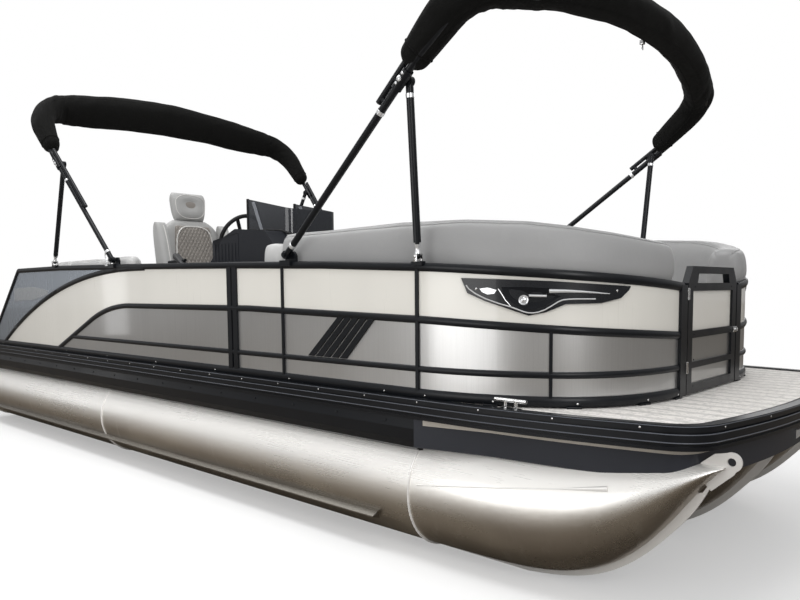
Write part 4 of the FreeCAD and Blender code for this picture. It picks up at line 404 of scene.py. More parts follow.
@dataclass(frozen=True)
class WovenFloor(Finish):
    """Woven vinyl floor with soft darker stripes along the boat."""

    pitch: float = 0.115
    strand: float = 0.0045

    def paint(self, graph: Graph) -> Dict[str, object]:
        """Basket weave, mixed yarn colours and stripes."""
        x, y, _ = graph.axes(graph.place())
        ragged = graph.noise(0.05, 3.0, (6.0, 1.0, 1.0)) * 0.012 + y
        stripe = ragged.wave(self.pitch).span(0.62, 0.95)
        hair = ragged.wave(self.pitch / 3).span(0.55, 1.0) * 0.35
        square = (x / (self.strand * 2)).floor() + (y / (self.strand * 0.8)).floor()
        check = square.math("PINGPONG", square, 1.0)
        weave = x.wave(self.strand) * check + y.wave(self.strand * 0.8) * (1 - check)
        yarn = graph.noise(0.004, 2.0, (5.0, 1.0, 1.0))
        knot = graph.noise(0.016, 3.0, (1.6, 1.0, 1.0), 0.7)
        base = graph.mix(yarn.span(0.35, 0.7) * 0.35, self.colour, self.shade(0.72))
        base = graph.mix(knot.span(0.44, 0.66) * 0.62, base, self.shade(0.46))
        base = graph.mix(stripe * 0.55 + hair * 0.4, base, self.shade(0.55))
        base = graph.mix(graph.noise(0.18, 3.0).span(0.5, 0.8) * 0.12, base, self.shade(0.8))
        return {
            "Base Color": base,
            "Roughness": yarn * 0.15 + self.roughness,
            "Normal": graph.bump(weave * 0.7 + yarn * 0.3, 0.0006),
        }


@dataclass(frozen=True)
class Vinyl(Finish):
    """Upholstery vinyl: pebbled grain, soft creases and a light sheen."""

    grain: float = 0.0028

    def paint(self, graph: Graph) -> Dict[str, object]:
        """Pebbled grain over slow creases."""
        pebble = graph.cells(self.grain, "SMOOTH_F1")
        crease = graph.noise(0.11, 4.0, (1.0, 1.0, 1.6), 0.55)
        slow = graph.noise(0.35, 2.0)
        base = graph.mix(slow.span(0.35, 0.7) * 0.22, self.colour, self.shade(0.82))
        base = graph.mix(crease.span(0.55, 0.75) * 0.16, base, self.shade(1.18))
        return {
            "Base Color": base,
            "Roughness": pebble * 0.12 + crease * 0.10 + self.roughness,
            "Sheen Weight": 0.10,
            "Coat Weight": 0.12,
            "Coat Roughness": 0.35,
            "Normal": graph.bump(crease, 0.0030, graph.bump(pebble, 0.00022)),
        }


@dataclass(frozen=True)
class Canvas(Finish):
    """Dyed acrylic canvas: close weave, faded folds and fine pulls."""

    thread: float = 0.0016

    def paint(self, graph: Graph) -> Dict[str, object]:
        """Two thread directions over folds."""
        x, y, z = graph.axes(graph.place())
        along = (x + z).wave(self.thread)
        over = (y * 1.2 + z * 0.4 - x * 0.4).wave(self.thread)
        fold = graph.noise(0.16, 5.0, (1.0, 0.55, 1.0), 0.6)
        pull = graph.noise(0.035, 3.0, (1.0, 0.3, 1.0))
        faded = graph.noise(0.6, 3.0).span(0.4, 0.75)
        base = graph.mix(faded * 0.35, self.colour, self.shade(1.6))
        base = graph.mix(fold.span(0.52, 0.8) * 0.30, base, self.shade(2.2))
        weave = graph.bump(along * 0.5 + over * 0.5, 0.0003)
        return {
            "Base Color": base,
            "Roughness": fold * 0.1 + self.roughness,
            "Specular IOR Level": 0.12,
            "Sheen Weight": 0.02,
            "Sheen Roughness": 0.5,
            "Normal": graph.bump(fold * 0.75 + pull * 0.25, 0.010, weave),
        }


@dataclass(frozen=True)
class Moulded(Finish):
    """Moulded plastic with a spark-eroded grain and scuffs."""

    grain: float = 0.0016
    coat: float = 0.0

    def paint(self, graph: Graph) -> Dict[str, object]:
        """Fine cells, soft shade changes and scuffs."""
        grain = graph.cells(self.grain)
        scuff = graph.noise(0.05, 4.0, (4.0, 1.0, 1.0)).span(0.58, 0.75)
        slow = graph.noise(0.3, 2.0).span(0.3, 0.7)
        base = graph.mix(slow * 0.25, self.colour, self.shade(0.8))
        return {
            "Base Color": graph.mix(scuff * 0.15, base, self.shade(1.5)),
            "Roughness": grain * 0.10 + scuff * 0.08 + self.roughness,
            "Specular IOR Level": 0.30,
            "Coat Weight": self.coat,
            "Coat Roughness": 0.08,
            "Normal": graph.bump(grain, 0.00015),
        }


@dataclass(frozen=True)
class Acrylic(Finish):
    """Smoked acrylic sheet with a darker lower edge and faint wiping marks."""

    clear: float = 0.07

    def paint(self, graph: Graph) -> Dict[str, object]:
        """Dark sheet that lets some light through."""
        wipe = graph.noise(0.05, 3.0, (5.0, 5.0, 0.6))
        depth = graph.axes(graph.place())[2].span(1.74, 2.0)
        return {
            "Base Color": graph.mix(depth * 0.5 + wipe * 0.2, self.colour, self.shade(1.8)),
            "Roughness": wipe.span(0.4, 0.8) * 0.06 + self.roughness,
            "Alpha": 0.93 - depth * self.clear,
            "Coat Weight": 0.5,
            "Coat Roughness": 0.03,
            "IOR": 1.49,
        }


@dataclass(frozen=True)
class Lens(Finish):
    """Clear lamp cover over a bright ribbed reflector."""

    def paint(self, graph: Graph) -> Dict[str, object]:
        """Ribs and cells under a clear coat."""
        x, y, _ = graph.axes(graph.place())
        ribs = (x - y).wave(0.006)
        cell = graph.cells(0.005)
        return {
            "Base Color": graph.mix(ribs * 0.5 + cell * 0.3, self.colour, self.shade(0.6)),
            "Metallic": 0.7,
            "Roughness": cell * 0.15 + self.roughness,
            "Coat Weight": 1.0,
            "Coat Roughness": 0.02,
            "Normal": graph.bump(ribs, 0.0006),
        }


@dataclass(frozen=True)
class CastMetal(Finish):
    """Cast and painted metal with a sandy skin."""

    def paint(self, graph: Graph) -> Dict[str, object]:
        """Sandy bump with oily patches."""
        oil = graph.noise(0.08, 4.0).span(0.45, 0.7)
        return {
            "Base Color": graph.mix(oil * 0.6, self.colour, self.shade(0.45)),
            "Metallic": 0.6,
            "Roughness": oil * -0.2 + self.roughness,
            "Normal": graph.bump(graph.noise(0.003, 4.0), 0.0006),
        }


EVEN = (1.0, 1.0, 1.0)
# Tube aluminium with painted shade below, a painted highlight on top and painted lamp reflections.
TUBE_METAL = MillMetal(
    "tube_aluminium", (0.90, 0.885, 0.85, 1.0), 0.30, under=0.40, warm=0.07, painted_lamp_glints=0.38, crown=0.72
)
FIN_METAL = MillMetal("fin_aluminium", (0.66, 0.65, 0.63, 1.0), 0.38, under=0.9, warm=0.02, metal=0.35)
LIP_METAL = MillMetal("lip_aluminium", (0.40, 0.375, 0.335, 1.0), 0.45, under=0.9, warm=0.03, metal=0.4)
# Aluminium far darker than the tubes': painted shade that makes the strakes read as a dark line.
STRAKE_PAINTED_SHADE = MillMetal("strake_aluminium_painted_shade", (0.30, 0.285, 0.26, 1.0), 0.42, under=0.7, warm=0.05)
WELD_METAL = MillMetal(
    "weld_aluminium", (0.88, 0.87, 0.85, 1.0), 0.36, EVEN, 0.005, under=0.9, warm=0.01, metal=0.3
)
FRAME_METAL = MillMetal("channel_aluminium", (0.52, 0.51, 0.50, 1.0), 0.42, warm=0.03)
STAINLESS = MillMetal("stainless_steel", (0.80, 0.80, 0.80, 1.0), 0.20, EVEN, 0.003, under=0.8, warm=0.0)
CHROME = MillMetal(
    "bright_trim", (0.88, 0.89, 0.90, 1.0), 0.18, EVEN, 0.004, under=0.9, warm=0.0, metal=0.6
)
RAIL_BLACK = PowderCoat("rail_powder_coat", (0.0055, 0.0065, 0.0085, 1.0), 0.30, coat=0.07)
TRIM_BLACK = PowderCoat("edge_trim_black", (0.0045, 0.0055, 0.0075, 1.0), 0.28, 0.004, 0.12)
# Slate of the bow fascia and bow apron; the apron's lower part is a painted shade over the tube tops.
APRON_SLATE = PowderCoat("apron_slate", (0.022, 0.024, 0.031, 1.0), 0.42, 0.003, 0.1)
# Grey far lighter than the rub rail's black: a painted highlight along its ridges.
RIDGE_PAINTED_HIGHLIGHT = PowderCoat("rub_rail_ridge_painted_highlight", (0.085, 0.092, 0.108, 1.0), 0.28, 0.003, 0.4)
# Grey of the screen's split strips: partly their own colour, partly a painted highlight.
SPLIT_STRIP_WITH_PAINTED_HIGHLIGHT = PowderCoat("screen_split_grey_and_painted_highlight", (0.20, 0.21, 0.23, 1.0), 0.34, 0.002, 0.2)
RUBBER = PowderCoat("black_rubber", (0.010, 0.010, 0.011, 1.0), 0.55, 0.0015, 0.0)
CREAM = GlossPanel("cream_panel_paint", (0.74, 0.72, 0.665, 1.0), 0.24, haze=0.16)
SILVER = GlossPanel("silver_panel_paint", (0.60, 0.60, 0.595, 1.0), 0.27, 0.3, 0.92, 0.42)
GATE_PANEL = GlossPanel("gate_panel_paint", (0.50, 0.495, 0.48, 1.0), 0.27, 0.3, 0.92, 0.5, 1.146)
TINTED = GlossPanel("quarter_panel_paint", (0.30, 0.335, 0.38, 1.0), 0.20, 0.25, 0.6, 0.3)
BAND_LIGHT = GlossPanel("quarter_band_paint", (0.42, 0.44, 0.46, 1.0), 0.22, 0.2, 0.7, 0.2)
FLOOR_WEAVE = WovenFloor("woven_deck_floor", (0.93, 0.90, 0.86, 1.0), 0.72)
GREY_VINYL = Vinyl("grey_vinyl", (0.30, 0.30, 0.30, 1.0), 0.48)
CHAIR_VINYL = Vinyl("chair_vinyl", (0.36, 0.36, 0.355, 1.0), 0.46)
LIGHT_VINYL = Vinyl("light_grey_vinyl", (0.50, 0.50, 0.495, 1.0), 0.46)
QUILT_VINYL = Vinyl("quilted_taupe_vinyl", (0.235, 0.215, 0.195, 1.0), 0.50)
PIPING_VINYL = Vinyl("piping_vinyl", (0.62, 0.61, 0.59, 1.0), 0.40, 0.0015)
ARM_VINYL = Vinyl("black_arm_vinyl", (0.016, 0.016, 0.018, 1.0), 0.50)
BLACK_CANVAS = Canvas("black_canvas", (0.0040, 0.0040, 0.0037, 1.0), 0.84)
SEAT_BASE = Moulded("seat_base_plastic", (0.33, 0.33, 0.335, 1.0), 0.50)
CONSOLE_SHELL = Moulded("console_moulding", (0.012, 0.0135, 0.018, 1.0), 0.42, coat=0.04)
CONTROL_BLACK = Moulded("control_black", (0.012, 0.012, 0.014, 1.0), 0.36, 0.001, 0.3)
LAMP_HOUSING = Moulded("lamp_housing", (0.008, 0.009, 0.011, 1.0), 0.24, 0.002, 0.35)
DIAL_FACE = Moulded("dial_face", (0.55, 0.56, 0.58, 1.0), 0.35, 0.0008, 0.6)
DARK_GLASS = Moulded("display_glass", (0.004, 0.005, 0.007, 1.0), 0.16, 0.004, 0.3)
SMOKED = Acrylic("smoked_acrylic", (0.012, 0.014, 0.018, 1.0), 0.08)
LAMP_LENS = Lens("lamp_lens", (0.85, 0.86, 0.88, 1.0), 0.10)
ENGINE_PAINT = GlossPanel("engine_gloss_black", (0.012, 0.0125, 0.014, 1.0), 0.18, 0.15, 0.0, 0.3)
ENGINE_CAST = CastMetal("engine_casting", (0.20, 0.20, 0.20, 1.0), 0.55)

FINISH_NODES: Dict[Finish, str] = {
    TUBE_METAL: "tube_starboard tube_centre tube_port motor_pod",
    FIN_METAL: "keel_fins",
    STRAKE_PAINTED_SHADE: "lifting_strakes",
    FRAME_METAL: "risers cross_channels",
    FLOOR_WEAVE: "deck",
    TRIM_BLACK: "rub_rail side_skirts",
    APRON_SLATE: "bow_fascia",
    RAIL_BLACK: "fence_sides fence_bows louvre_bars bow_gate_frame fence_stern stern_gate_frame "
    "front_hoop front_braces rear_hoop rear_braces hoop_mounts",
    CREAM: "cream_panels",
    SILVER: "silver_panels stern_gate_panel",
    GATE_PANEL: "bow_gate_panels",
    TINTED: "quarter_panels",
    LAMP_HOUSING: "light_inserts",
    SEAT_BASE: "bow_lounge_bases aft_lounge_base port_lounge_base",
    LIGHT_VINYL: "bow_lounge_seats aft_lounge_seat helm_seat",
    GREY_VINYL: "bow_lounge_backs aft_lounge_back port_lounge_cushions",
    CONSOLE_SHELL: "console",
    SMOKED: "windscreen",
    RUBBER: "steering_wheel",
    CONTROL_BLACK: "throttle",
    STAINLESS: "chair_pedestal cleats propeller ladder ladder_hinges",
    BLACK_CANVAS: "front_boot rear_boot",
    ENGINE_PAINT: "clamp_bracket swivel_bracket engine_leg engine_cowl",
    ENGINE_CAST: "powerhead",
}


# -------------------------------------------------------------- mesh building


def rounded(points: Line, radii: Sequence[float], turn: float = 5.0) -> Line:
    """Line through points whose inner corners are arcs.

    Args:
        points: Corners of the line.
        radii: Radius of each inner corner.
        turn: Largest turn in degrees between two points of an arc.

    Returns:
        Points along the line.
    """
    line = [points[0].copy()]
    for before, corner, after, radius in zip(points, points[1:], points[2:], radii):
        back = (before - corner).normalized()
        ahead = (after - corner).normalized()
        bend = math.pi - back.angle(ahead)
        reach = radius * math.tan(bend / 2)
        centre = corner + (back + ahead).normalized() * (radius / math.cos(bend / 2))
        start = corner + back * reach - centre
        axis = start.cross(corner + ahead * reach - centre).normalized()
        steps = max(2, math.ceil(math.degrees(bend) / turn))
        for index in range(steps + 1):
            line.append(centre + Matrix.Rotation(bend * index / steps, 3, axis) @ start)
    line.append(points[-1].copy())
    return line


def even(points: Line, count: int) -> Line:
    """The same line with evenly spaced points.

    Args:
        points: Points of the line.
        count: How many points to give, ends included.

    Returns:
        Evenly spaced points.
    """
    runs = [0.0]
    for first, second in zip(points, points[1:]):
        runs.append(runs[-1] + (second - first).length)
    result = []
    place = 0
    for index in range(count):
        wanted = runs[-1] * index / (count - 1)
        while place < len(runs) - 2 and runs[place + 1] < wanted:
            place += 1
        length = max(runs[place + 1] - runs[place], 1e-9)
        share = min(max((wanted - runs[place]) / length, 0.0), 1.0)
        result.append(points[place].lerp(points[place + 1], share))
    return result


def frames(points: Line, up: Vector, closed: bool = False) -> List[Tuple[Vector, ...]]:
    """Point, side and up at each point of a line.

    Args:
        points: The line.
        up: Direction that stays up.
        closed: Whether the last point joins the first.

    Returns:
        One frame for each point.
    """
    result = []
    count = len(points)
    for index, point in enumerate(points):
        if closed:
            before, after = points[index - 1], points[(index + 1) % count]
        else:
            before, after = points[max(index - 1, 0)], points[min(index + 1, count - 1)]
        heading = (after - before).normalized()
        side = heading.cross(up)
        if side.length < 1e-5:
            side = heading.cross(Vector((0.3, 0.9, 0.2)))
        side.normalize()
        result.append((point, side, side.cross(heading).normalized()))
    return result


def circle(count: int, offset: float = 0.0) -> List[Pair]:
    """Cosine and sine of evenly spaced turns, set off by a share of a step."""
    turns = [FULL * (index + offset) / count for index in range(count)]
    return [(math.cos(turn), math.sin(turn)) for turn in turns]


def bowed(value: float, power: float) -> float:
    """Value raised to a power, with its sign kept."""
    return math.copysign(abs(value) ** power, value)


def linked(name: str, data: bpy.types.ID) -> bpy.types.Object:
    """New object of some data in the scene."""
    thing = bpy.data.objects.new(name, data)
    bpy.context.scene.collection.objects.link(thing)
    return thing


class Piece:
    """Collects the faces of one piece, then becomes an object of the boat."""

    def __init__(self, name: str) -> None:
        """Starts an empty piece."""
        self.name = name
        self.points: Line = []
        self.faces: List[Tuple[int, ...]] = []

    def ring(self, points: Iterable[Vector]) -> List[int]:
        """Adds points and returns their numbers."""
        start = len(self.points)
        self.points.extend(Vector(point) for point in points)
        return list(range(start, len(self.points)))

    def bridge(self, first: Sequence[int], second: Sequence[int]) -> None:
        """Joins two rings with quads."""
        for index in range(len(first)):
            after = (index + 1) % len(first)
            self.faces.append((first[index], first[after], second[after], second[index]))

    def cap(self, ring: Sequence[int], flip: bool = False) -> None:
        """Closes a ring with a fan about its middle."""
        centre = self.ring([middle_of([self.points[index] for index in ring])])[0]
        for index, number in enumerate(ring):
            after = ring[(index + 1) % len(ring)]
            self.faces.append((after, number, centre) if flip else (number, after, centre))

    def loft(self, rings: Iterable[Iterable[Vector]], closed: bool = False) -> Piece:
        """Skins a run of rings.

        Args:
            rings: Rings of the same count.
            closed: Whether the last ring joins the first.

        Returns:
            This piece.
        """
        numbers = [self.ring(ring) for ring in rings]
        for first, second in zip(numbers, numbers[1:]):
            self.bridge(first, second)
        if closed:
            self.bridge(numbers[-1], numbers[0])
        else:
            self.cap(numbers[0], True)
            self.cap(numbers[-1])
        return self

    def pipe(
        self, points: Line, radius: Union[float, Sequence[float]], sides: int = 8, up: Vector = UP,
        closed: bool = False, flat: float = 1.0
    ) -> Piece:
        """Adds a round or flattened bar along a line.

        Args:
            points: The line.
            radius: Half width, one for all or one for each point.
            sides: Points round the bar.
            up: Direction that stays up.
            closed: Whether the bar is a loop.
            flat: Height as a share of the width.

        Returns:
            This piece.
        """
        widths = [radius] * len(points) if isinstance(radius, float) else radius
        rings = []
        for (point, side, above), wide in zip(frames(points, up, closed), widths):
            rings.append([point + side * (wide * c) + above * (wide * flat * s) for c, s in circle(sides)])
        return self.loft(rings, closed)

    def strip(self, points: Line, outline: Sequence[Pair]) -> Piece:
        """Sweeps a flat outline, given as distances to the side and upwards, along a line."""
        flow = frames(points, UP)
        return self.loft([[point + side * a + above * b for a, b in outline] for point, side, above in flow])

    def lathe(self, origin: Vector, axis: Vector, profile: Sequence[Pair], sides: int = 20) -> Piece:
        """Turns a profile about an axis.

        Args:
            origin: Foot of the axis.
            axis: Its direction.
            profile: Distances along the axis and radii.
            sides: Points round it.

        Returns:
            This piece.
        """
        axis = axis.normalized()
        side = axis.cross(Vector((0.31, 0.87, 0.39))).normalized()
        other = axis.cross(side)
        rings = []
        for rise, radius in profile:
            foot = origin + axis * rise
            rings.append([foot + side * (radius * c) + other * (radius * s) for c, s in circle(sides)])
        return self.loft(rings)

    def head(self, origin: Vector, axis: Vector, radius: float, rise: float, sides: int = 10) -> Piece:
        """Adds a domed screw head."""
        shape = [(-0.001, radius), (rise * 0.35, radius), (rise * 0.8, radius * 0.72), (rise, radius * 0.3)]
        return self.lathe(origin, axis, shape, sides)

    def block(
        self, low: Sequence[float], high: Sequence[float], radius: float, turn: Optional[Matrix] = None
    ) -> Piece:
        """Adds a block with rounded edges.

        Args:
            low: Lowest corner.
            high: Highest corner.
            radius: Radius of its edges.
            turn: Turn about the block's middle.

        Returns:
            This piece.
        """
        shape = bmesh.new()
        bmesh.ops.create_cube(shape, size=1.0)
        size = Vector(high) - Vector(low)
        middle = (Vector(high) + Vector(low)) / 2
        for vert in shape.verts:
            vert.co = Vector((vert.co.x * size.x, vert.co.y * size.y, vert.co.z * size.z))
        edges = list(shape.edges)
        bmesh.ops.bevel(shape, geom=edges, offset=radius, segments=2, affect="EDGES", profile=0.6)
        spin = Matrix.Identity(3) if turn is None else turn
        start = len(self.points)
        shape.verts.index_update()
        self.points.extend(middle + spin @ vert.co for vert in shape.verts)
        for face in shape.faces:
            self.faces.append(tuple(start + vert.index for vert in face.verts))
        shape.free()
        return self

    def both_sides(self) -> Piece:
        """Adds the port twin of everything so far."""
        start = len(self.points)
        self.points.extend([Vector((p.x, -p.y, p.z)) for p in self.points])
        self.faces.extend([tuple(start + index for index in reversed(face)) for face in self.faces])
        return self

    def build(
        self, finish: Finish, slot: Slot, body: str = "hull", sharp: float = 40.0, levels: int = 0
    ) -> bpy.types.Object:
        """Makes the object, dresses it and sets it on its body.

        Args:
            finish: Its finish.
            slot: The record's slot; not used.
            body: The body that it moves with.
            sharp: Edges that turn more than this stay sharp.
            levels: Levels of subdivision.

        Returns:
            The object.
        """
        mesh = bpy.data.meshes.new(self.name)
        mesh.from_pydata([tuple(point) for point in self.points], [], self.faces)
        shape = bmesh.new()
        shape.from_mesh(mesh)
        bmesh.ops.remove_doubles(shape, verts=shape.verts, dist=1e-6)
        bmesh.ops.recalc_face_normals(shape, faces=shape.faces)
        for face in shape.faces:
            face.smooth = True
        limit = math.radians(sharp)
        for edge in shape.edges:
            if len(edge.link_faces) == 2 and edge.calc_face_angle(0.0) > limit:
                edge.smooth = False
        shape.to_mesh(mesh)
        shape.free()
        thing = linked(self.name, mesh)
        mesh.materials.append(finish.make())
        if levels:
            modifier = thing.modifiers.new("smooth", "SUBSURF")
            modifier.levels = modifier.render_levels = levels
        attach(thing, body)
        LOG.info("%s: %d faces on %s", self.name, len(mesh.polygons), body)
        return thing


def middle_of(points: Line) -> Vector:
    """Mean of some points."""
    return sum(points, Vector()) / len(points)


class Surface:
    """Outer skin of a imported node, for setting fittings down on it."""

    def __init__(self, node: str) -> None:
        """Builds a search tree over the node's faces."""
        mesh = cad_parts[node].data
        points = [vertex.co.copy() for vertex in mesh.vertices]
        self.tree = BVHTree.FromPolygons(points, [tuple(polygon.vertices) for polygon in mesh.polygons])

    def meet(self, start: Vector, heading: Vector) -> Optional[Tuple[Vector, Vector]]:
        """First place and outward direction that a ray meets, or None."""
        place, normal, _, _ = self.tree.ray_cast(start, heading.normalized())
        if place is None:
            return None
        return place, (-normal if normal.dot(heading) > 0 else normal)


# ------------------------------------------------------------------ the lines


@dataclass(frozen=True)
class BowTurn:
    """Plan line of the fence round the bow: three tangent arcs to the gate."""

    start: float = aft(1.388)
    end: float = aft(0.428)
    end_half: float = 0.400
    first: float = 1.250
    angles: Point = (30.0, 70.0, 90.0)

    def arcs(self) -> List[Tuple[float, float, float, float, float]]:
        """Centre, radius, first and last angle of each arc."""
        one, two, _ = (math.radians(angle) for angle in self.angles)
        right_x = (self.end - self.start) - self.first * math.sin(one)
        right_y = (FENCE_HALF - self.end_half) - self.first * (1 - math.cos(one))
        a, b = math.sin(two) - math.sin(one), 1 - math.sin(two)
        c, d = math.cos(one) - math.cos(two), math.cos(two)
        scale = a * d - b * c
        second = (right_x * d - b * right_y) / scale
        third = (a * right_y - c * right_x) / scale
        x, y, begin = self.start, -FENCE_HALF, 0.0
        result = []
        for radius, degrees in zip((self.first, second, third), self.angles):
            stop = math.radians(degrees)
            cx, cy = x - radius * math.sin(begin), y + radius * math.cos(begin)
            result.append((cx, cy, radius, begin, stop))
            x, y = cx + radius * math.sin(stop), cy - radius * math.cos(stop)
            begin = stop
        return result

    def length(self) -> float:
        """Length of the turn on the fence line."""
        return sum(radius * (stop - begin) for _, _, radius, begin, stop in self.arcs())

    def at(self, share: float, inward: float = 0.0, height: float = 0.0) -> Tuple[Vector, Vector]:
        """Point and outward direction at a share of the turn.

        Args:
            share: 0 where the turn starts and 1 where it ends; below 0 it runs straight aft.
            inward: How far inside the fence line.
            height: Height of the point.

        Returns:
            The point and the outward direction.
        """
        run = share * self.length()
        if run <= 0:
            return Vector((self.start + run, -FENCE_HALF + inward, height)), OUTBOARD.copy()
        arcs = self.arcs()
        while len(arcs) > 1 and run > arcs[0][2] * (arcs[0][4] - arcs[0][3]) + 1e-9:
            _, _, radius, begin, stop = arcs.pop(0)
            run -= radius * (stop - begin)
        cx, cy, radius, begin, _ = arcs[0]
        angle = begin + run / radius
        out = Vector((math.sin(angle), -math.cos(angle), 0.0))
        return Vector((cx, cy, height)) + out * (radius - inward), out


@dataclass(frozen=True)
class DeckEdge:
    """Plan outline of the deck and its rub rail."""

    half: float = 1.270
    sweep_start: float = 1.250
    sweep: float = 4.600
    corner: float = 0.200
    crown: float = 4.200
    front: float = 0.068
    steps: int = 16

    def angles(self) -> Pair:
        """Angles where the side sweep ends and where the crown starts, from the corner's centre."""
        sweep = complex(-self.sweep_start, self.sweep - self.half)
        crown = complex(self.front - self.crown, 0.0)
        reach, other, gap = self.sweep - self.corner, self.crown - self.corner, abs(crown - sweep)
        near = (gap + (reach**2 - other**2) / gap) / 2
        corner = sweep + (crown - sweep) / gap * complex(near, math.sqrt(reach**2 - near**2))
        one, two = corner - sweep, corner - crown
        return math.atan2(one.real, -one.imag), math.atan2(-two.imag, two.real)

    def line(self, grow: float, height: float, stern: float = 7.74) -> Line:
        """Starboard side, bow and port side of the outline.

        Args:
            grow: How far outside the deck's own edge.
            height: Height of the line.
            stern: Where the sides start, behind the stem.

        Returns:
            Points from the starboard quarter round the bow to the port quarter.
        """
        a, b = self.angles()
        side, sweep = self.half + grow, self.sweep + grow
        corner, crown = self.corner + grow, self.crown + grow
        start = aft(self.sweep_start)
        shares = [index / self.steps for index in range(1, self.steps + 1)]
        half = [Vector((aft(stern), -side, height)), Vector((start, -side, height))]
        for angle in (a * share for share in shares):
            x, y = start + sweep * math.sin(angle), -side + sweep * (1 - math.cos(angle))
            half.append(Vector((x, y, height)))
        cx = half[-1].x - corner * math.sin(a)
        cy = half[-1].y + corner * math.cos(a)
        for angle in (a + (math.pi / 2 - b - a) * share for share in shares):
            half.append(Vector((cx + corner * math.sin(angle), cy - corner * math.cos(angle), height)))
        centre = STEM + self.front + grow - crown
        for angle in (b * (1 - share) for share in shares):
            half.append(Vector((centre + crown * math.cos(angle), -crown * math.sin(angle), height)))
        return half + [Vector((p.x, -p.y, p.z)) for p in reversed(half[:-1])]


TURN = BowTurn()
EDGE = DeckEdge()


# ----------------------------------------------------------------- soft goods


def dent(value: float, width: float) -> float:
    """Depth of a sewn channel at a distance from it, 1 at its middle."""
    return math.exp(-((value / width) ** 2))


def asked(value: Union[float, Callable[..., float]], *where: object) -> float:
    """The value itself, or what it gives for a place where it is a function."""
    return value(*where) if callable(value) else value


Measure = Union[float, Callable[..., float]]


@dataclass
class Pad:
    """A padded piece, built into an object when it is made."""

    name: str

    def shape(self) -> Tuple[Piece, float, int]:
        """The pad's faces, the turn at which its edges stay sharp and its levels of subdivision."""
        raise NotImplementedError

    def make(
        self, finish: Finish, slot: Slot, body: str = "hull", fill: float = 0.85,
        replaces: Sequence[str] = ()
    ) -> bpy.types.Object:
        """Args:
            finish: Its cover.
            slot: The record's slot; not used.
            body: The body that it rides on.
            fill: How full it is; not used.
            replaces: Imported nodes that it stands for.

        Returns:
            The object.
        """
        piece, sharp, levels = self.shape()
        thing = piece.build(finish, slot, body, sharp, levels)
        if replaces:
            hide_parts(*replaces)
        return thing


@dataclass
class Roll(Pad):
    """A crowned pad that follows a line, with rounded ends and sewn channels."""

    line: Line
    across: float
    low: Measure
    high: Measure
    power: float = 4.5
    end: float = 0.06
    sides: int = 44
    pitch: float = 0.028
    channels: Sequence[float] = ()
    groove: float = 0.007
    seams: Sequence[float] = ()
    lean: float = 0.0
    sag: float = 0.004
    bulge: Optional[Callable[[Vector, float], float]] = None

    def rings(self) -> List[Line]:
        """Rings of the pad from end to end, bunched up where the ends round over."""
        total = length_of(self.line)
        count = max(int(total / self.pitch), 12)
        flow = frames(even(self.line, count + 1), UP)
        distances = [total * index / count for index in range(count + 1)]
        shares = [self.end * step for step in (0.004, 0.03, 0.09, 0.18, 0.32, 0.5, 0.72)]
        places = shares + [d for d in distances if self.end * 0.9 < d < total - self.end * 0.9]
        places += [total - share for share in reversed(shares)]
        rings = []
        for place in places:
            index, share = divmod(min(place / total * count, count - 1e-6), 1.0)
            before, after = flow[int(index)], flow[int(index) + 1]
            side = before[1].lerp(after[1], share).normalized()
            rings.append(self.section(before[0].lerp(after[0], share), side, place, total))
        return rings

    def section(self, centre: Vector, side: Vector, place: float, total: float) -> Line:
        """One ring of the pad.

        Args:
            centre: Middle of the ring in plan.
            side: Direction across the pad, to the right of its line.
            place: Distance along the pad.
            total: Length of the pad.

        Returns:
            Points of the ring.
        """
        share = place / total
        near = min(place, total - place)
        ease = 1.0
        if near < self.end:
            ease = (1 - (1 - near / self.end) ** 2.6) ** (1 / 2.6)
        low, high = asked(self.low, share, centre), asked(self.high, share, centre)
        middle, half = (low + high) / 2, (high - low) / 2
        shrink = self.end * (1 - ease) * 0.85
        wide = max(self.across / 2 - shrink, 0.002)
        tall = max(half - shrink, 0.002)
        thin = max(min(wide, tall), 0.02)
        depth = min(sum(dent(place - channel, 0.012) for channel in self.channels), 1.0)
        sign = math.copysign(1.0, self.lean)
        ring = []
        for index, (c, s) in enumerate(circle(self.sides, 0.5)):
            a, b = bowed(c, 2 / self.power), bowed(s, 2 / self.power)
            pull = 1.0
            if s > -0.2:
                pull -= self.groove * depth / thin * ease
            for seam in self.seams:
                gap = ((index + 0.5) / self.sides - seam + 0.5) % 1.0 - 0.5
                pull -= 0.0035 * dent(gap, 0.012) / thin
            slump = noise.noise(Vector((place * 3.1, a * 2.0, b * 2.0 + len(self.name)))) * self.sag
            lift = b * tall * pull + slump * ease
            shift = a * wide * pull + self.lean * (lift / max(half, 0.01)) * 0.5
            if self.bulge is not None:
                shift += self.bulge(centre, middle + lift) * (0.5 + 0.5 * a * sign) * sign
            ring.append(centre + side * shift + UP * (middle - centre.z + lift))
        return ring

    def shape(self) -> Tuple[Piece, float, int]:
        """Rings from end to end, smoothed once."""
        return Piece(self.name).loft(self.rings()), 70.0, 1

    def edge_line(self, turn: float, proud: float) -> Line:
        """Line along the pad at a turn round its section, for its piping."""
        number = int(turn * self.sides) % self.sides
        rings = self.rings()[3:-3]
        return [ring[number] + (ring[number] - middle_of(ring)).normalized() * proud for ring in rings]


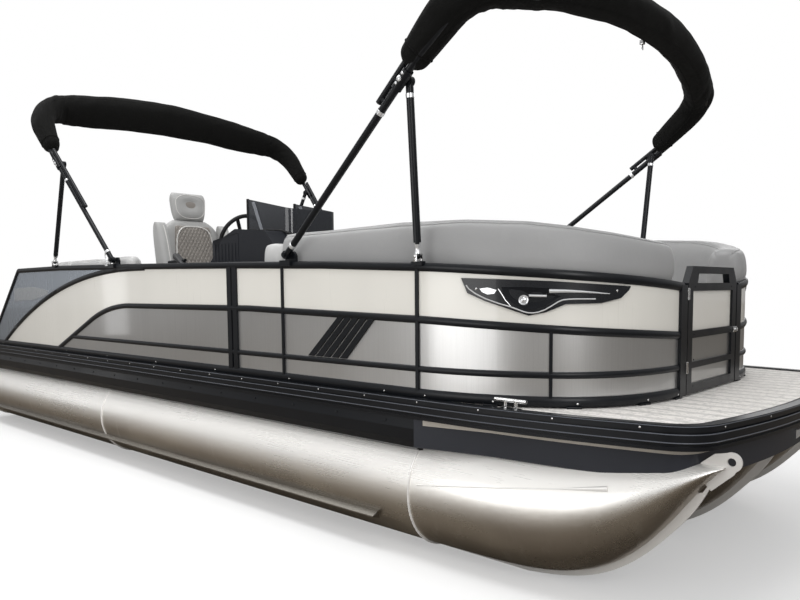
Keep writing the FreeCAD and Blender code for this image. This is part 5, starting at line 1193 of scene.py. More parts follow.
@dataclass
class Pillow(Pad):
    """A pad spread over an upright outline, with its own front and back."""

    spine: Callable[[float], Vector]
    half: Measure
    front: Measure
    back: float
    columns: int = 20
    rows: int = 40
    power: float = 4.0

    def point(self, a: float, b: float, front: bool = True) -> Vector:
        """Point of the front or back face.

        Args:
            a: Place across, -1 to 1.
            b: Place up, -1 to 1.
            front: Which face.

        Returns:
            The point.
        """
        top = abs(b) ** self.power
        edge = abs(a) ** self.power
        body = max(1 - edge, 0.0) ** (1 / self.power) * max(1 - top, 0.0) ** (1 / self.power)
        rim = (1 - 0.06 * top) * asked(self.half, b)
        reach = asked(self.front, a, b) * body if front else -self.back * body
        return self.spine(b) + ACROSS * (a * rim) + FORWARD * reach

    def shape(self) -> Tuple[Piece, float, int]:
        """Front and back as grids that crowd towards their rims."""
        piece = Piece(self.name)
        across, upward = (
            [math.sin(math.pi / 2 * (2 * index / count - 1)) for index in range(count + 1)]
            for count in (self.columns, self.rows)
        )
        for front in (True, False):
            grid = [piece.ring(self.point(a, b, front) for a in across) for b in upward]
            for low, high in zip(grid, grid[1:]):
                for column in range(self.columns):
                    quad = (low[column], low[column + 1], high[column + 1], high[column])
                    piece.faces.append(quad if front else quad[::-1])
        return piece, 75.0, 0

    def rim_line(self, inset: Pair, power: float, count: int, proud: float) -> Line:
        """Loop on the front face, for piping.

        Args:
            inset: Shares of the half width and of the half height.
            power: How square the loop is, 1 round and 0 square.
            count: Points of the loop.
            proud: Height above the face.

        Returns:
            Points of the loop.
        """
        wide, tall = inset
        loop = [self.point(bowed(c, power) * wide, bowed(s, power) * tall) for c, s in circle(count)]
        return [point + FORWARD * proud for point in loop]


SEAT_LOW = 1.142
SEAT_HIGH = 1.266
BACK_SEAMS = (0.185, 0.315)
SWELL_FRAMES = 20
SEAT_PIPING = (0.10, 0.40)


def seat_roll(name: str, line: Line, across: float, channels: Sequence[float]) -> Roll:
    """Seat cushion of a lounge along a line, with sewn channels at distances."""
    seams = (0.06, 0.44)
    return Roll(name, line, across, SEAT_LOW, SEAT_HIGH, 5.0, 0.05, 52, channels=channels, seams=seams)


def back_roll(name: str, line: Line, across: float, high: Measure, **more: object) -> Roll:
    """Backrest of a lounge along a line, up to a height."""
    settings = {"low": SEAT_LOW, "power": 3.8, "end": 0.075, "seams": BACK_SEAMS, **more}
    return Roll(name, line, across, high=high, **settings)


def piping(name: str, proud: float, *runs: Tuple[Roll, Sequence[float]]) -> Piece:
    """Piping that stands proud of rolls, at turns round their sections."""
    piece = Piece(name)
    for roll, turns in runs:
        for turn in turns:
            piece.pipe(roll.edge_line(turn, proud), 0.0035)
    return piece


def settled(thing: bpy.types.Object) -> bpy.types.Mesh:
    """Mesh of an object with its modifiers applied."""
    return bpy.data.meshes.new_from_object(thing.evaluated_get(bpy.context.evaluated_depsgraph_get()))


def puff(thing: bpy.types.Object, cap: float, voxel: float, pressure: float = 4.0) -> None:
    """Swells a closed pad with a short cloth simulation and keeps the result.

    Args:
        thing: The pad, already on its body.
        cap: Furthest that a point may move.
        voxel: Size of the simulated faces.
        pressure: Push from inside.
    """
    scene = bpy.context.scene
    helper = linked(thing.name + "_swell", settled(thing))
    remesh = helper.modifiers.new("voxels", "REMESH")
    remesh.mode = "VOXEL"
    remesh.voxel_size = voxel
    even_mesh = settled(helper)
    helper.modifiers.clear()
    helper.data = even_mesh
    before = [vertex.co.copy() for vertex in even_mesh.vertices]
    cloth = helper.modifiers.new("cover", "CLOTH")
    cloth.settings.quality = 4
    cloth.settings.use_pressure = True
    cloth.settings.uniform_pressure_force = pressure
    cloth.settings.tension_stiffness = 40
    cloth.settings.compression_stiffness = 40
    cloth.settings.bending_stiffness = 2.0
    cloth.settings.effector_weights.gravity = 0.0
    cloth.collision_settings.use_self_collision = False
    cloth.point_cache.frame_start = 1
    cloth.point_cache.frame_end = SWELL_FRAMES
    for number in range(1, SWELL_FRAMES + 1):
        scene.frame_set(number)
    swelled = settled(helper)
    for vertex, start in zip(swelled.vertices, before):
        move = vertex.co - start
        if move.length > cap:
            vertex.co = start + move * (cap / move.length)
    bpy.data.objects.remove(helper)
    scene.frame_set(1)
    for polygon in swelled.polygons:
        polygon.use_smooth = True
    swelled.materials.clear()
    for material in thing.data.materials:
        swelled.materials.append(material)
    thing.modifiers.clear()
    thing.data = swelled
    soften = thing.modifiers.new("settle", "SMOOTH")
    soften.factor = 0.5
    soften.iterations = 4


# --------------------------------------------------------------- sub-assemblies


@dataclass
class Hull:
    """Tubes, fins, deck edge and what is fixed to them."""

    radius: float = 0.3175
    axis: float = 0.3475
    spread: float = 0.970
    seams: Point = (1.44, 4.84, 7.66)

    def tubes(self) -> Tuple[Tuple[str, float], ...]:
        """Name and place across of each tube."""
        return ("starboard", -self.spread), ("centre", 0.0), ("port", self.spread)

    def weld_rings(self) -> None:
        """Rolled weld beads round each tube where its lengths meet."""
        bead = self.radius + 0.0005
        turns = circle(240)
        widths = [0.0085 + 0.0010 * math.sin(index * FULL / 3) for index in range(len(turns))]
        for name, across in self.tubes():
            piece = Piece(f"weld_rings_{name}")
            for seam in self.seams:
                loop = [spot(seam, across + bead * c, self.axis + bead * s) for c, s in turns]
                piece.pipe(loop, widths, 8, FORWARD, True, 0.55)
            piece.build(WELD_METAL, Slot.TUBE)

    def nose_ribs(self) -> None:
        """Pressed rib and its wedge end on each flank of the noses."""
        for name, across in self.tubes():
            skin = Surface(f"tube_{name}")
            rib = Piece(f"nose_ribs_{name}")
            for side in (-1, 1):
                line, widths = [], []
                for share in (index / 39 for index in range(40)):
                    start = Vector((aft(1.39) + share * 0.97, across + side * 0.6, 0.408 + share * 0.138))
                    found = skin.meet(start, Vector((0.0, -side, 0.0)))
                    if found is not None:
                        line.append(found[0] + found[1] * 0.0005)
                        widths.append(0.0035 + 0.0100 * max(share - 0.78, 0.0) / 0.22)
                rib.pipe(line, widths, 8, ACROSS, flat=0.8)
            rib.build(WELD_METAL, Slot.TUBE)

    def fin_beads(self) -> None:
        """Weld bead where each keel fin meets its barrel."""
        piece = Piece("fin_welds")
        for _, across in self.tubes():
            for side in (-1, 1):
                y = across + side * 0.0085
                piece.pipe([Vector((aft(7.62) + index * 0.16, y, 0.0315)) for index in range(38)], 0.0038, 6)
        piece.build(WELD_METAL, Slot.TUBE)

    def rail_screws(self) -> None:
        """Screws along the upper band of the rub rail, sides, bow and port side."""
        outline = EDGE.line(0.0225, 0.829)
        places = even(outline, int(length_of(outline) / 0.36) * 12 + 1)
        piece = Piece("rub_rail_screws")
        for number in range(4, len(places) - 4, 12):
            heading = (places[number + 1] - places[number - 1]).normalized()
            piece.head(places[number], heading.cross(UP).normalized(), 0.0048, 0.0028)
        piece.build(STAINLESS, Slot.STAINLESS)

    def rail_ridges(self) -> None:
        """Fine ridges moulded along the rub rail, coloured lighter than it as a painted highlight."""
        ridge = Piece("rub_rail_ridges")
        rows = ((0.0242, 0.8085, 0.0030), (0.0242, 0.7755, 0.0032), (0.0215, 0.8405, 0.0028))
        for grow, height, wide in rows:
            ridge.pipe(EDGE.line(grow, height, 7.70), wide, flat=0.8)
        ridge.build(RIDGE_PAINTED_HIGHLIGHT, Slot.TRIM)

    def bow_apron_with_painted_shade(self) -> None:
        """Bright lip under the bow's rub rail, and the apron below it that closes the skirts; its lower part is
        painted shade.
        """
        lip = [(0, 0.7405), (0.0075, 0.7395), (0.0075, 0.7125), (0, 0.7105)]
        run = self.bow_run(-0.066, 1.352, -1.2690)
        Piece("bow_rail_lip").strip(run, lip).build(LIP_METAL, Slot.TUBE)
        # Painted shade: the apron's lower edge at 0.600 hangs below the tube tops, a dark sheet where they lie
        # in shade.
        apron = [(0, 0.7395), (0.004, 0.7395), (0.004, 0.600), (0.001, 0.597), (-0.002, 0.600)]
        run = self.bow_run(-0.0695, 1.404, -1.2805)
        Piece("bow_apron_with_painted_shade").strip(run, apron).build(APRON_SLATE, Slot.TRIM)

    @staticmethod
    def bow_run(grow: float, start: float, half: float) -> Line:
        """Line that leaves the front end of one skirt, joins the bow's edge and ends at the other.

        Args:
            grow: How far outside the deck's own edge it runs round the bow.
            start: Where it starts, behind the stem.
            half: Y of its starboard end.

        Returns:
            Points of the line.
        """
        middle = [point for point in EDGE.line(grow, 0.0) if point.x > aft(1.02)]
        return [spot(start, half, 0.0)] + middle + [spot(start, -half, 0.0)]

    def deck_trim(self) -> None:
        """Low rubber strip where the floor meets the rub rail."""
        outline = [(-0.010, 0.0), (-0.010, 0.0020), (-0.002, 0.0035), (0.008, 0.0020), (0.008, 0.0)]
        edge = EDGE.line(-0.036, DECK_TOP + 0.0004, 7.66)
        Piece("deck_edge_strip").strip(edge, outline).build(RUBBER, Slot.TRIM)

    def skirt_screws(self) -> None:
        """Screws along the side skirts."""
        screws = Piece("side_skirt_screws")
        for index in range(17):
            screws.head(Vector((aft(7.60) + index * 0.375, -1.2822, 0.715)), OUTBOARD, 0.006, 0.003)
        screws.both_sides().build(TRIM_BLACK, Slot.TRIM)

    def build(self) -> None:
        """Builds the hull's fittings in order."""
        self.weld_rings()
        self.nose_ribs()
        self.fin_beads()
        self.rail_screws()
        self.rail_ridges()
        self.bow_apron_with_painted_shade()
        self.deck_trim()
        self.skirt_screws()


@dataclass
class LightInsert:
    """Lamp and bright blades in the wing shaped housing on each bow panel."""

    face: float = -0.0185

    def flat(self, marks: Iterable[Pair], proud: float) -> Line:
        """Points at shares of the bow's turn and heights, proud of the housing's face."""
        return [TURN.at(share, self.face - proud, height)[0] for share, height in marks]

    def line(self, marks: Sequence[Pair], proud: float) -> Line:
        """Evenly spaced line through shares and heights on the face."""
        return even(self.flat(marks, proud), len(marks) * 8)

    def frame_parts(self) -> None:
        """Bright rim and blades, and the dark pocket between them."""
        outer = [
            (0.190, 1.402), (0.200, 1.384), (0.222, 1.362), (0.254, 1.3395), (0.301, 1.3155),
            (0.335, 1.3017), (0.358, 1.2895), (0.376, 1.2795), (0.390, 1.2745), (0.405, 1.2740),
            (0.420, 1.2775), (0.440, 1.2880), (0.463, 1.3085), (0.478, 1.3230), (0.491, 1.3315),
            (0.510, 1.3350), (0.535, 1.3358), (0.590, 1.3352),
        ]
        inner = [(0.296, 1.384), (0.303, 1.369), (0.309, 1.3557), (0.320, 1.330), (0.335, 1.3060)]
        rim = Piece("lamp_rim_bright").pipe(self.line(outer, 0.001), 0.0032)
        rim.pipe(self.line(inner, 0.001), 0.0022).both_sides().build(CHROME, Slot.STAINLESS)
        top = [(0.452, 1.372), (0.50, 1.3715), (0.55, 1.368), (0.60, 1.362), (0.634, 1.3575)]
        widths = [0.0105 * (1 - 0.8 * index / 39) for index in range(40)]
        blade = Piece("lamp_blades").pipe(even(self.line(top, 0.003), 40), widths, flat=0.9)
        blade.pipe(self.line([(0.392, 1.3525), (0.420, 1.3510), (0.445, 1.3500)], 0.003), 0.0055)
        blade.both_sides().build(CHROME, Slot.STAINLESS)
        corners = [
            (0.306, 1.392), (0.38, 1.391), (0.452, 1.385), (0.462, 1.360), (0.486, 1.349), (0.462, 1.326),
            (0.440, 1.305), (0.410, 1.290), (0.380, 1.290), (0.350, 1.312), (0.322, 1.338), (0.312, 1.362),
        ]
        pocket = Piece("lamp_pocket").loft([self.flat(corners, proud) for proud in (-0.001, 0.0016)])
        pocket.both_sides().build(DARK_GLASS, Slot.LAMP)

    def lamp_parts(self) -> None:
        """Bowl, lens, small reflector and screws."""
        middle, out = TURN.at(0.376, self.face, 1.3325)
        bowl = [(0.0, 0.023), (0.009, 0.023), (0.012, 0.021), (0.011, 0.017), (0.006, 0.014), (0.004, 0.004)]
        Piece("lamp_bowl").lathe(middle, out, bowl, 28).both_sides().build(CHROME, Slot.STAINLESS)
        dome = [(0.0, 0.016), (0.004, 0.0148), (0.0075, 0.011), (0.0095, 0.006), (0.010, 0.001)]
        lens = Piece("lamp_lens_dome").lathe(middle + out * 0.004, out, dome, 24)
        lens.both_sides().build(LAMP_LENS, Slot.LAMP)
        wedge = [
            (0.236, 1.385), (0.262, 1.390), (0.291, 1.379), (0.284, 1.362), (0.262, 1.3585), (0.244, 1.3700)
        ]
        small = Piece("lamp_small_reflector").loft([self.flat(wedge, proud) for proud in (-0.001, 0.0030)])
        small.both_sides().build(CHROME, Slot.LAMP)
        screws = Piece("lamp_screws")
        for share, height in ((0.224, 1.3845), (0.660, 1.371)):
            place, out = TURN.at(share, self.face, height)
            screws.head(place, out, 0.0055, 0.003, 12)
        screws.both_sides().build(STAINLESS, Slot.STAINLESS)

    def build(self) -> None:
        """Builds the starboard lamp parts with their port twins."""
        self.frame_parts()
        self.lamp_parts()


@dataclass
class Fence:
    """Feet, hinges, latches and small trim of the fence and its gates."""

    gate_x: float = aft(0.428)
    stern_x: float = aft(6.760)
    foot_pitch: float = 0.78

    def feet(self) -> None:
        """Small blocks that lift the bottom rail off the deck."""
        piece = Piece("fence_feet")
        for index in range(8):
            x = aft(7.10) + index * self.foot_pitch
            piece.block((x - 0.035, -1.268, 0.8375), (x + 0.035, -1.232, 0.8475), 0.002)
        for share in (0.02, 0.27, 0.53, 0.78, 0.97):
            place, out = TURN.at(share, 0.0, 0.8425)
            turn = Matrix.Rotation(math.atan2(out.y, out.x) + math.pi / 2, 3, "Z")
            reach = Vector((0.035, 0.018, 0.005))
            piece.block(place - reach, place + reach, 0.002, turn)
        piece.both_sides().build(RAIL_BLACK, Slot.RAIL)

    def rail_bolts(self) -> None:
        """Domed bolts through the bottom rail."""
        piece = Piece("fence_bolts")
        for share in (0.03, 0.28, 0.54, 0.79, 0.96):
            place, out = TURN.at(share, -0.018, 0.862)
            piece.head(place, out, 0.005, 0.0025)
        for index in range(8):
            place = Vector((aft(7.08) + index * self.foot_pitch, -1.268, 0.862))
            piece.head(place, OUTBOARD, 0.005, 0.0025)
        piece.both_sides().build(STAINLESS, Slot.STAINLESS)

    def gate_fittings(self) -> None:
        """Hinge barrels on one side of the bow gate, and a slide latch on each gate."""
        barrels = Piece("bow_gate_hinge_knuckles")
        for height in (0.955, 1.320):
            origin = Vector((self.gate_x + 0.020, -0.366, height))
            barrels.lathe(origin, UP, [(0.0, 0.006), (0.002, 0.0085), (0.058, 0.0085), (0.060, 0.006)], 16)
        barrels.build(STAINLESS, Slot.STAINLESS)
        knob = [(0, 0.008), (0.010, 0.008), (0.013, 0.005)]
        x = self.gate_x
        latch = Piece("bow_gate_latch").block((x + 0.017, 0.300, 1.128), (x + 0.027, 0.352, 1.160), 0.003)
        latch.lathe(Vector((x + 0.026, 0.326, 1.144)), FORWARD, knob, 14)
        latch.build(STAINLESS, Slot.STAINLESS, "bow_gate")
        x = self.stern_x
        latch = Piece("stern_gate_latch").block((x - 0.027, 0.572, 1.10), (x - 0.017, 0.624, 1.135), 0.003)
        latch.lathe(Vector((x - 0.026, 0.598, 1.117)), -FORWARD, knob, 14)
        latch.build(STAINLESS, Slot.STAINLESS, "stern_gate")

    def panel_screws(self) -> None:
        """Small rivets that hold the gate's panels."""
        rivets = Piece("bow_gate_rivets")
        for height in (0.885, 1.018, 1.146, 1.385):
            for across in (-0.27, 0.27):
                rivets.head(Vector((self.gate_x + 0.0170, across, height)), FORWARD, 0.0042, 0.002)
        rivets.build(RAIL_BLACK, Slot.RAIL, "bow_gate")

    def quarter_band(self) -> None:
        """Light band that crosses each dark quarter panel and ends in a curve."""
        y = -FENCE_HALF - 0.0052
        centre = spots((6.735, y, 1.356), (6.50, y, 1.364), (6.20, y, 1.372), (5.90, y, 1.378))
        edge = ((0.001, 1.0), (-0.0012, 0.98), (-0.0012, -0.98), (0.001, -1.0))
        rings = []
        for index, place in enumerate(even(centre, 60)):
            tall = 0.062 * (1 - 0.9 * max(index / 59 - 0.55, 0.0) / 0.45) ** 0.6
            rings.append([place + Vector((0, out, tall * share)) for out, share in edge])
        Piece("quarter_bands").loft(rings).both_sides().build(BAND_LIGHT, Slot.TINTED)

    def build(self) -> None:
        """Builds the fence's fittings in order."""
        self.feet()
        self.rail_bolts()
        self.gate_fittings()
        self.panel_screws()
        self.quarter_band()
        LightInsert().build()


@dataclass
class BowLounge:
    """Seats and backrests that follow the bow turn on both sides."""

    lead: float = 2.520
    stop_half: float = 0.444
    marks: Sequence[Pair] = (
        (2.57, 1.722), (1.60, 1.730), (1.20, 1.718), (0.90, 1.694),
        (0.77, 1.672), (0.65, 1.638), (0.50, 1.584), (0.30, 1.540),
    )

    def line(self, inward: float, longer: float = 0.0) -> Line:
        """Plan line from the aft end round the turn to the aisle.

        Args:
            inward: How far inside the fence line.
            longer: How much further aft it starts.

        Returns:
            Points of the line.
        """
        start = -(self.lead + longer - 1.388) / TURN.length()
        points = []
        for index in range(121):
            place, _ = TURN.at(start + (1.0 - start) * index / 120, inward)
            if place.y > -self.stop_half:
                break
            points.append(place)
        last, before = points[-1], points[-2]
        heading = (last - before).normalized()
        points.append(last + heading * max((-self.stop_half - last.y) / max(heading.y, 0.2), 0.0))
        return points

    def crest(self, _: float, place: Vector) -> float:
        """Height of a backrest's top, which falls towards the bow."""
        distance = STEM - place.x
        if distance >= self.marks[0][0]:
            return self.marks[0][1]
        for (d0, z0), (d1, z1) in zip(self.marks, self.marks[1:]):
            if distance >= d1:
                return z1 + (z0 - z1) * (distance - d1) / (d0 - d1)
        return self.marks[-1][1]

    @staticmethod
    def overhang(place: Vector, height: float) -> float:
        """How far the crown of a backrest swells over the top rail near the gate."""
        rail = 1.494 - 0.110 * min(max((place.x - 3.17) / 0.87, 0.0), 1.0) ** 0.8
        return 0.064 * soft_step((place.x - 3.05) / 0.60) * soft_step((height - rail - 0.002) / 0.045)

    def build(self) -> None:
        """Builds each side's seat, backrest, end bolster and its stand."""
        for side, name in ((1, "starboard"), (-1, "port")):
            flip = Matrix.Scale(-1.0, 3, ACROSS) if side < 0 else Matrix.Identity(3)
            line = [flip @ point for point in self.line(0.126, 0.050)]
            more = {"power": 3.6, "lean": 0.006 * side, "bulge": self.overhang}
            back = back_roll(f"bow_back_{name}", line, 0.140, self.crest, **more)
            back.make(GREY_VINYL, Slot.VINYL_GREY, replaces=("bow_lounge_backs",) if side > 0 else ())
            line = [flip @ point for point in self.line(0.404)]
            run = length_of(line)
            channels = [run * share for share in (0.2, 0.4, 0.6, 0.8)]
            seat = seat_roll(f"bow_seat_{name}", line, 0.385, channels)
            stands_for = ("bow_lounge_seats",) if side > 0 else ()
            seat.make(LIGHT_VINYL, Slot.VINYL_LIGHT, fill=0.75, replaces=stands_for)
            welt = piping(f"bow_back_welt_{name}", 0.0015, (back, BACK_SEAMS))
            welt.build(GREY_VINYL, Slot.VINYL_GREY)
            piping(f"bow_piping_{name}", 0.001, (seat, SEAT_PIPING)).build(PIPING_VINYL, Slot.VINYL_LIGHT)
            bolster = Pillow(
                f"bow_bolster_{name}",
                lambda b, s=side: spot(2.640, -1.103 * s, 1.408 + 0.260 * b),
                0.092, 0.104, 0.104, rows=30, power=5.0,
            )
            puff(bolster.make(LIGHT_VINYL, Slot.VINYL_LIGHT), 0.006, 0.010)
            low, high = sorted((-1.190 * side, -1.018 * side))
            stand = Piece(f"bow_bolster_stand_{name}")
            stand.block((aft(2.725), low, DECK_TOP), (aft(2.523), high, 1.153), 0.010)
            stand.build(SEAT_BASE, Slot.BASE)


@dataclass
class AftLounge:
    """L shaped lounge along the starboard side and across the stern."""

    front: float = 4.980
    stern: float = 6.715
    back_high: float = 1.658
    stern_high: float = 1.600
    port_end: float = 0.500

    def crest(self, _: float, place: Vector) -> float:
        """Height of the backrest, which steps down towards the stern."""
        step = soft_step((STEM - place.x - 5.80) / 0.45)
        return self.back_high + (self.stern_high - self.back_high) * step

    def corner(self, inset: float, half: float, radius: float) -> Line:
        """Line along the side and round the corner to the stern's port end.

        Args:
            inset: How far it runs in front of the lounge's aft face.
            half: How far off the centreline it runs.
            radius: Radius of its corner.

        Returns:
            Points of the line.
        """
        x = self.stern - inset
        return rounded(spots((self.front, -half, 0), (x, -half, 0), (x, self.port_end, 0)), [radius])

    def build(self) -> None:
        """Builds the seat, the backrest, the end cushion and their piping."""
        line = self.corner(0.064, 1.123, 0.12)
        back = back_roll("aft_back", line, 0.140, self.crest, channels=(0.62, 1.24, 2.02, 2.64))
        back.make(LIGHT_VINYL, Slot.VINYL_GREY, replaces=("aft_lounge_back",))
        seat = seat_roll("aft_seat", self.corner(0.095, 0.835, 0.26), 0.400, (0.55, 1.10, 1.95, 2.45))
        seat.make(LIGHT_VINYL, Slot.VINYL_LIGHT, fill=0.75, replaces=("aft_lounge_seat",))
        line = spots((4.780, -1.122, 0), (4.465, -1.122, 0))
        end = back_roll("aft_end_cushion", line, 0.132, 1.662, low=1.150, power=3.6, end=0.070)
        end.make(LIGHT_VINYL, Slot.VINYL_LIGHT)
        stand = Piece("aft_end_cushion_stand")
        stand.block(spot(4.785, -1.190, DECK_TOP), spot(4.460, -1.056, 1.156), 0.010)
        stand.build(SEAT_BASE, Slot.BASE)
        welts = piping("aft_piping", 0.0012, (back, BACK_SEAMS), (seat, SEAT_PIPING))
        welts.build(PIPING_VINYL, Slot.VINYL_LIGHT)


@dataclass
class PortLounge:
    """Straight lounge opposite the helm."""

    front: float = 3.020
    stern: float = 5.600
    channels: Point = (0.64, 1.29, 1.93)

    def build(self) -> None:
        """Builds the seat, the backrest and their piping."""
        line = spots((self.stern, 0.835, 0), (self.front, 0.835, 0))
        seat = seat_roll("port_seat", line, 0.412, self.channels)
        seat.make(LIGHT_VINYL, Slot.VINYL_GREY, fill=0.75, replaces=("port_lounge_cushions",))
        line = spots((self.stern, 1.124, 0), (self.front, 1.124, 0))
        back = back_roll("port_back", line, 0.142, 1.698, channels=self.channels)
        back.make(GREY_VINYL, Slot.VINYL_GREY)
        welts = piping("port_piping", 0.0012, (back, BACK_SEAMS), (seat, SEAT_PIPING))
        welts.build(PIPING_VINYL, Slot.VINYL_LIGHT)


@dataclass
class Chair:
    """Helm chair: seat, winged and quilted back, headrest and padded arms."""

    x: float = aft(4.140)
    y: float = -0.690
    base: float = 1.173
    diamond: float = 0.052
    body: str = "helm_chair"

    def at(self, ahead: float, across: float, above: float) -> Vector:
        """Point by its place ahead of the swivel, across and above the slide's foot."""
        return Vector((self.x + ahead, self.y + across, self.base + above))

    def spine(self, *marks: Pair, across: float = 0.0) -> Callable[[float], Vector]:
        """Middle line of a pad from points ahead of and above the swivel."""

        def along(b: float) -> Vector:
            """Point of the middle line at -1 to 1."""
            place = (b + 1) / 2 * (len(marks) - 1)
            index = min(int(place), len(marks) - 2)
            share = place - index
            (x0, z0), (x1, z1) = marks[index], marks[index + 1]
            return self.at(x0 + (x1 - x0) * share, across, z0 + (z1 - z0) * share)

        return along

    def quilting(self, a: float, b: float) -> float:
        """Depth of the diamond stitching at a place on the back."""
        u, v = a * 0.178, b * 0.26
        gaps = [0.5 - abs(((u * 1.5 + slant) / self.diamond) % 1.0 - 0.5) for slant in (v, -v)]
        return max(dent(gap, 0.16) for gap in gaps)

    def welt(self, name: str, line: Line, radius: float, up: Vector, closed: bool = False) -> None:
        """Builds piping along a line."""
        Piece(name).pipe(line, radius, 8, up, closed).build(PIPING_VINYL, Slot.VINYL_LIGHT, self.body)

    def build_back(self) -> None:
        """Quilted middle of the back, with its frame and wings."""
        shell = Pillow(
            "chair_back_shell",
            self.spine((-0.190, 0.185), (-0.212, 0.36), (-0.235, 0.56), (-0.252, 0.70), (-0.262, 0.785)),
            lambda b: 0.248 if b < 0.35 else 0.248 - 0.095 * ((b - 0.35) / 0.65) ** 2,
            0.050, 0.046, columns=32,
        )
        shell.make(CHAIR_VINYL, Slot.VINYL_LIGHT, self.body, 0.8, ("helm_seat",))
        quilt = Pillow(
            "chair_quilted_panel",
            self.spine((-0.160, 0.225), (-0.176, 0.38), (-0.197, 0.56), (-0.218, 0.738)),
            lambda b: 0.178 - 0.016 * max(b, 0.0),
            lambda a, b: 0.034 - 0.0085 * self.quilting(a, b),
            0.012, 110, 150, 7.0,
        )
        quilt.make(QUILT_VINYL, Slot.VINYL_LIGHT, self.body, 0.7)
        self.welt("chair_back_piping", quilt.rim_line((0.985, 0.985), 0.5, 90, 0.004), 0.0055, FORWARD, True)
        for side, name in SIDES:
            marks = ((-0.128, 0.195), (-0.148, 0.38), (-0.180, 0.58), (-0.212, 0.755))
            middle = self.spine(*marks, across=side * 0.288)
            wing = Pillow(f"chair_wing_{name}", middle, 0.046, lambda a, b: 0.075 - 0.020 * b, 0.085, power=3.0)
            wing.make(CHAIR_VINYL, Slot.VINYL_LIGHT, self.body)
            line = [wing.point(-0.15 * side, -0.9 + 1.8 * index / 40) + FORWARD * 0.0015 for index in range(41)]
            self.welt(f"chair_wing_piping_{name}", line, 0.0032, ACROSS)

    def build_head(self) -> None:
        """Headrest with a sunk middle, on the narrowed top of the back."""
        rest = Pillow(
            "chair_headrest",
            self.spine((-0.260, 0.785), (-0.266, 0.86), (-0.272, 0.94), (-0.276, 1.008)),
            lambda b: (0.166 - 0.026 * (1 - b) / 2) * (1 - 0.10 * max(b, 0.0) ** 4),
            lambda a, b: 0.064 - 0.024 * math.exp(-((a / 0.5) ** 2) - ((b - 0.15) / 0.45) ** 2),
            0.058, 36, 34, 2.5,
        )
        rest.make(CHAIR_VINYL, Slot.VINYL_LIGHT, self.body)
        middle = self.spine((-0.2350, 0.855), (-0.2370, 0.90), (-0.2400, 0.945))
        inset = Pillow("chair_headrest_inset", middle, 0.078, 0.016, 0.010, 24, 18, 2.6)
        inset.make(QUILT_VINYL, Slot.VINYL_LIGHT, self.body, 0.7)
        self.welt("chair_headrest_piping", rest.rim_line((0.86, 0.84), 0.7, 72, 0.001), 0.0030, FORWARD, True)

    def build_seat(self) -> None:
        """Seat pad with a waterfall front and side bolsters."""
        seat = Roll(
            "chair_seat",
            [Vector((self.x - 0.215, self.y, 0)), Vector((self.x + 0.250, self.y, 0))],
            0.480,
            self.base + 0.045,
            lambda s, _: self.base + 0.190 + 0.012 * math.sin(math.pi * min(s * 1.1, 1.0)),
            4.2, 0.060, 64, 0.012, (0.12, 0.24, 0.36), 0.005, SEAT_PIPING,
        )
        puff(seat.make(CHAIR_VINYL, Slot.VINYL_LIGHT, self.body, 0.8), 0.004, 0.009)
        welts = Piece("chair_seat_piping")
        for turn in SEAT_PIPING:
            welts.pipe(seat.edge_line(turn, 0.003), 0.0040)
        welts.build(PIPING_VINYL, Slot.VINYL_LIGHT, self.body)

    def build_arms(self) -> None:
        """Padded arms on cranked stays, with their hinge bosses."""
        for side, name in SIDES:
            y = self.y + side * 0.298
            arm = Roll(
                f"chair_arm_{name}",
                [Vector((self.x + 0.020, y, 0)), Vector((self.x + 0.255, y, 0))],
                0.060,
                lambda s, _: 1.622 - 0.12 * max(s - 0.10, 0.0),
                lambda s, _: 1.676 - 0.16 * max(s - 0.08, 0.0),
                2.8, 0.028, 28, 0.014, seams=(0.25,),
            )
            arm.make(ARM_VINYL, Slot.VINYL_GREY, self.body, 0.8)
            marks = ((-0.160, 1.225), (-0.160, 1.52), (-0.110, 1.606), (0.160, 1.616))
            route = rounded([Vector((self.x + x, y - side * 0.004, z)) for x, z in marks], [0.05, 0.05])
            stay = Piece(f"chair_arm_stay_{name}").pipe(route, 0.012, 12, ACROSS)
            boss = Vector((self.x - 0.140, y - side * 0.020, 1.572))
            stay.lathe(boss, ACROSS * side, [(0, 0.024), (0.030, 0.024), (0.036, 0.018)])
            stay.build(RAIL_BLACK, Slot.RAIL, self.body)

    def build_slide(self) -> None:
        """The seat's slide with its collars and release bar."""
        slide = Piece("chair_slide").block(self.at(-0.19, -0.20, 0.0), self.at(0.20, 0.20, 0.038), 0.008)
        slide.lathe(self.at(0, 0, -0.100), UP, [(0, 0.028), (0.004, 0.030), (0.100, 0.030)], 28)
        slide.lathe(self.at(0, 0, -0.012), UP, [(0, 0.075), (0.003, 0.080), (0.011, 0.080)], 32)
        bar = [self.at(0.10, -0.205, 0.010), self.at(0.22, -0.215, 0.008), self.at(0.225, -0.15, 0.008)]
        slide.pipe(rounded(bar, [0.02]), 0.006, 10).build(RAIL_BLACK, Slot.RAIL, self.body)

    def build(self) -> None:
        """Builds the chair's parts in order."""
        self.build_back()
        self.build_head()
        self.build_seat()
        self.build_arms()
        self.build_slide()


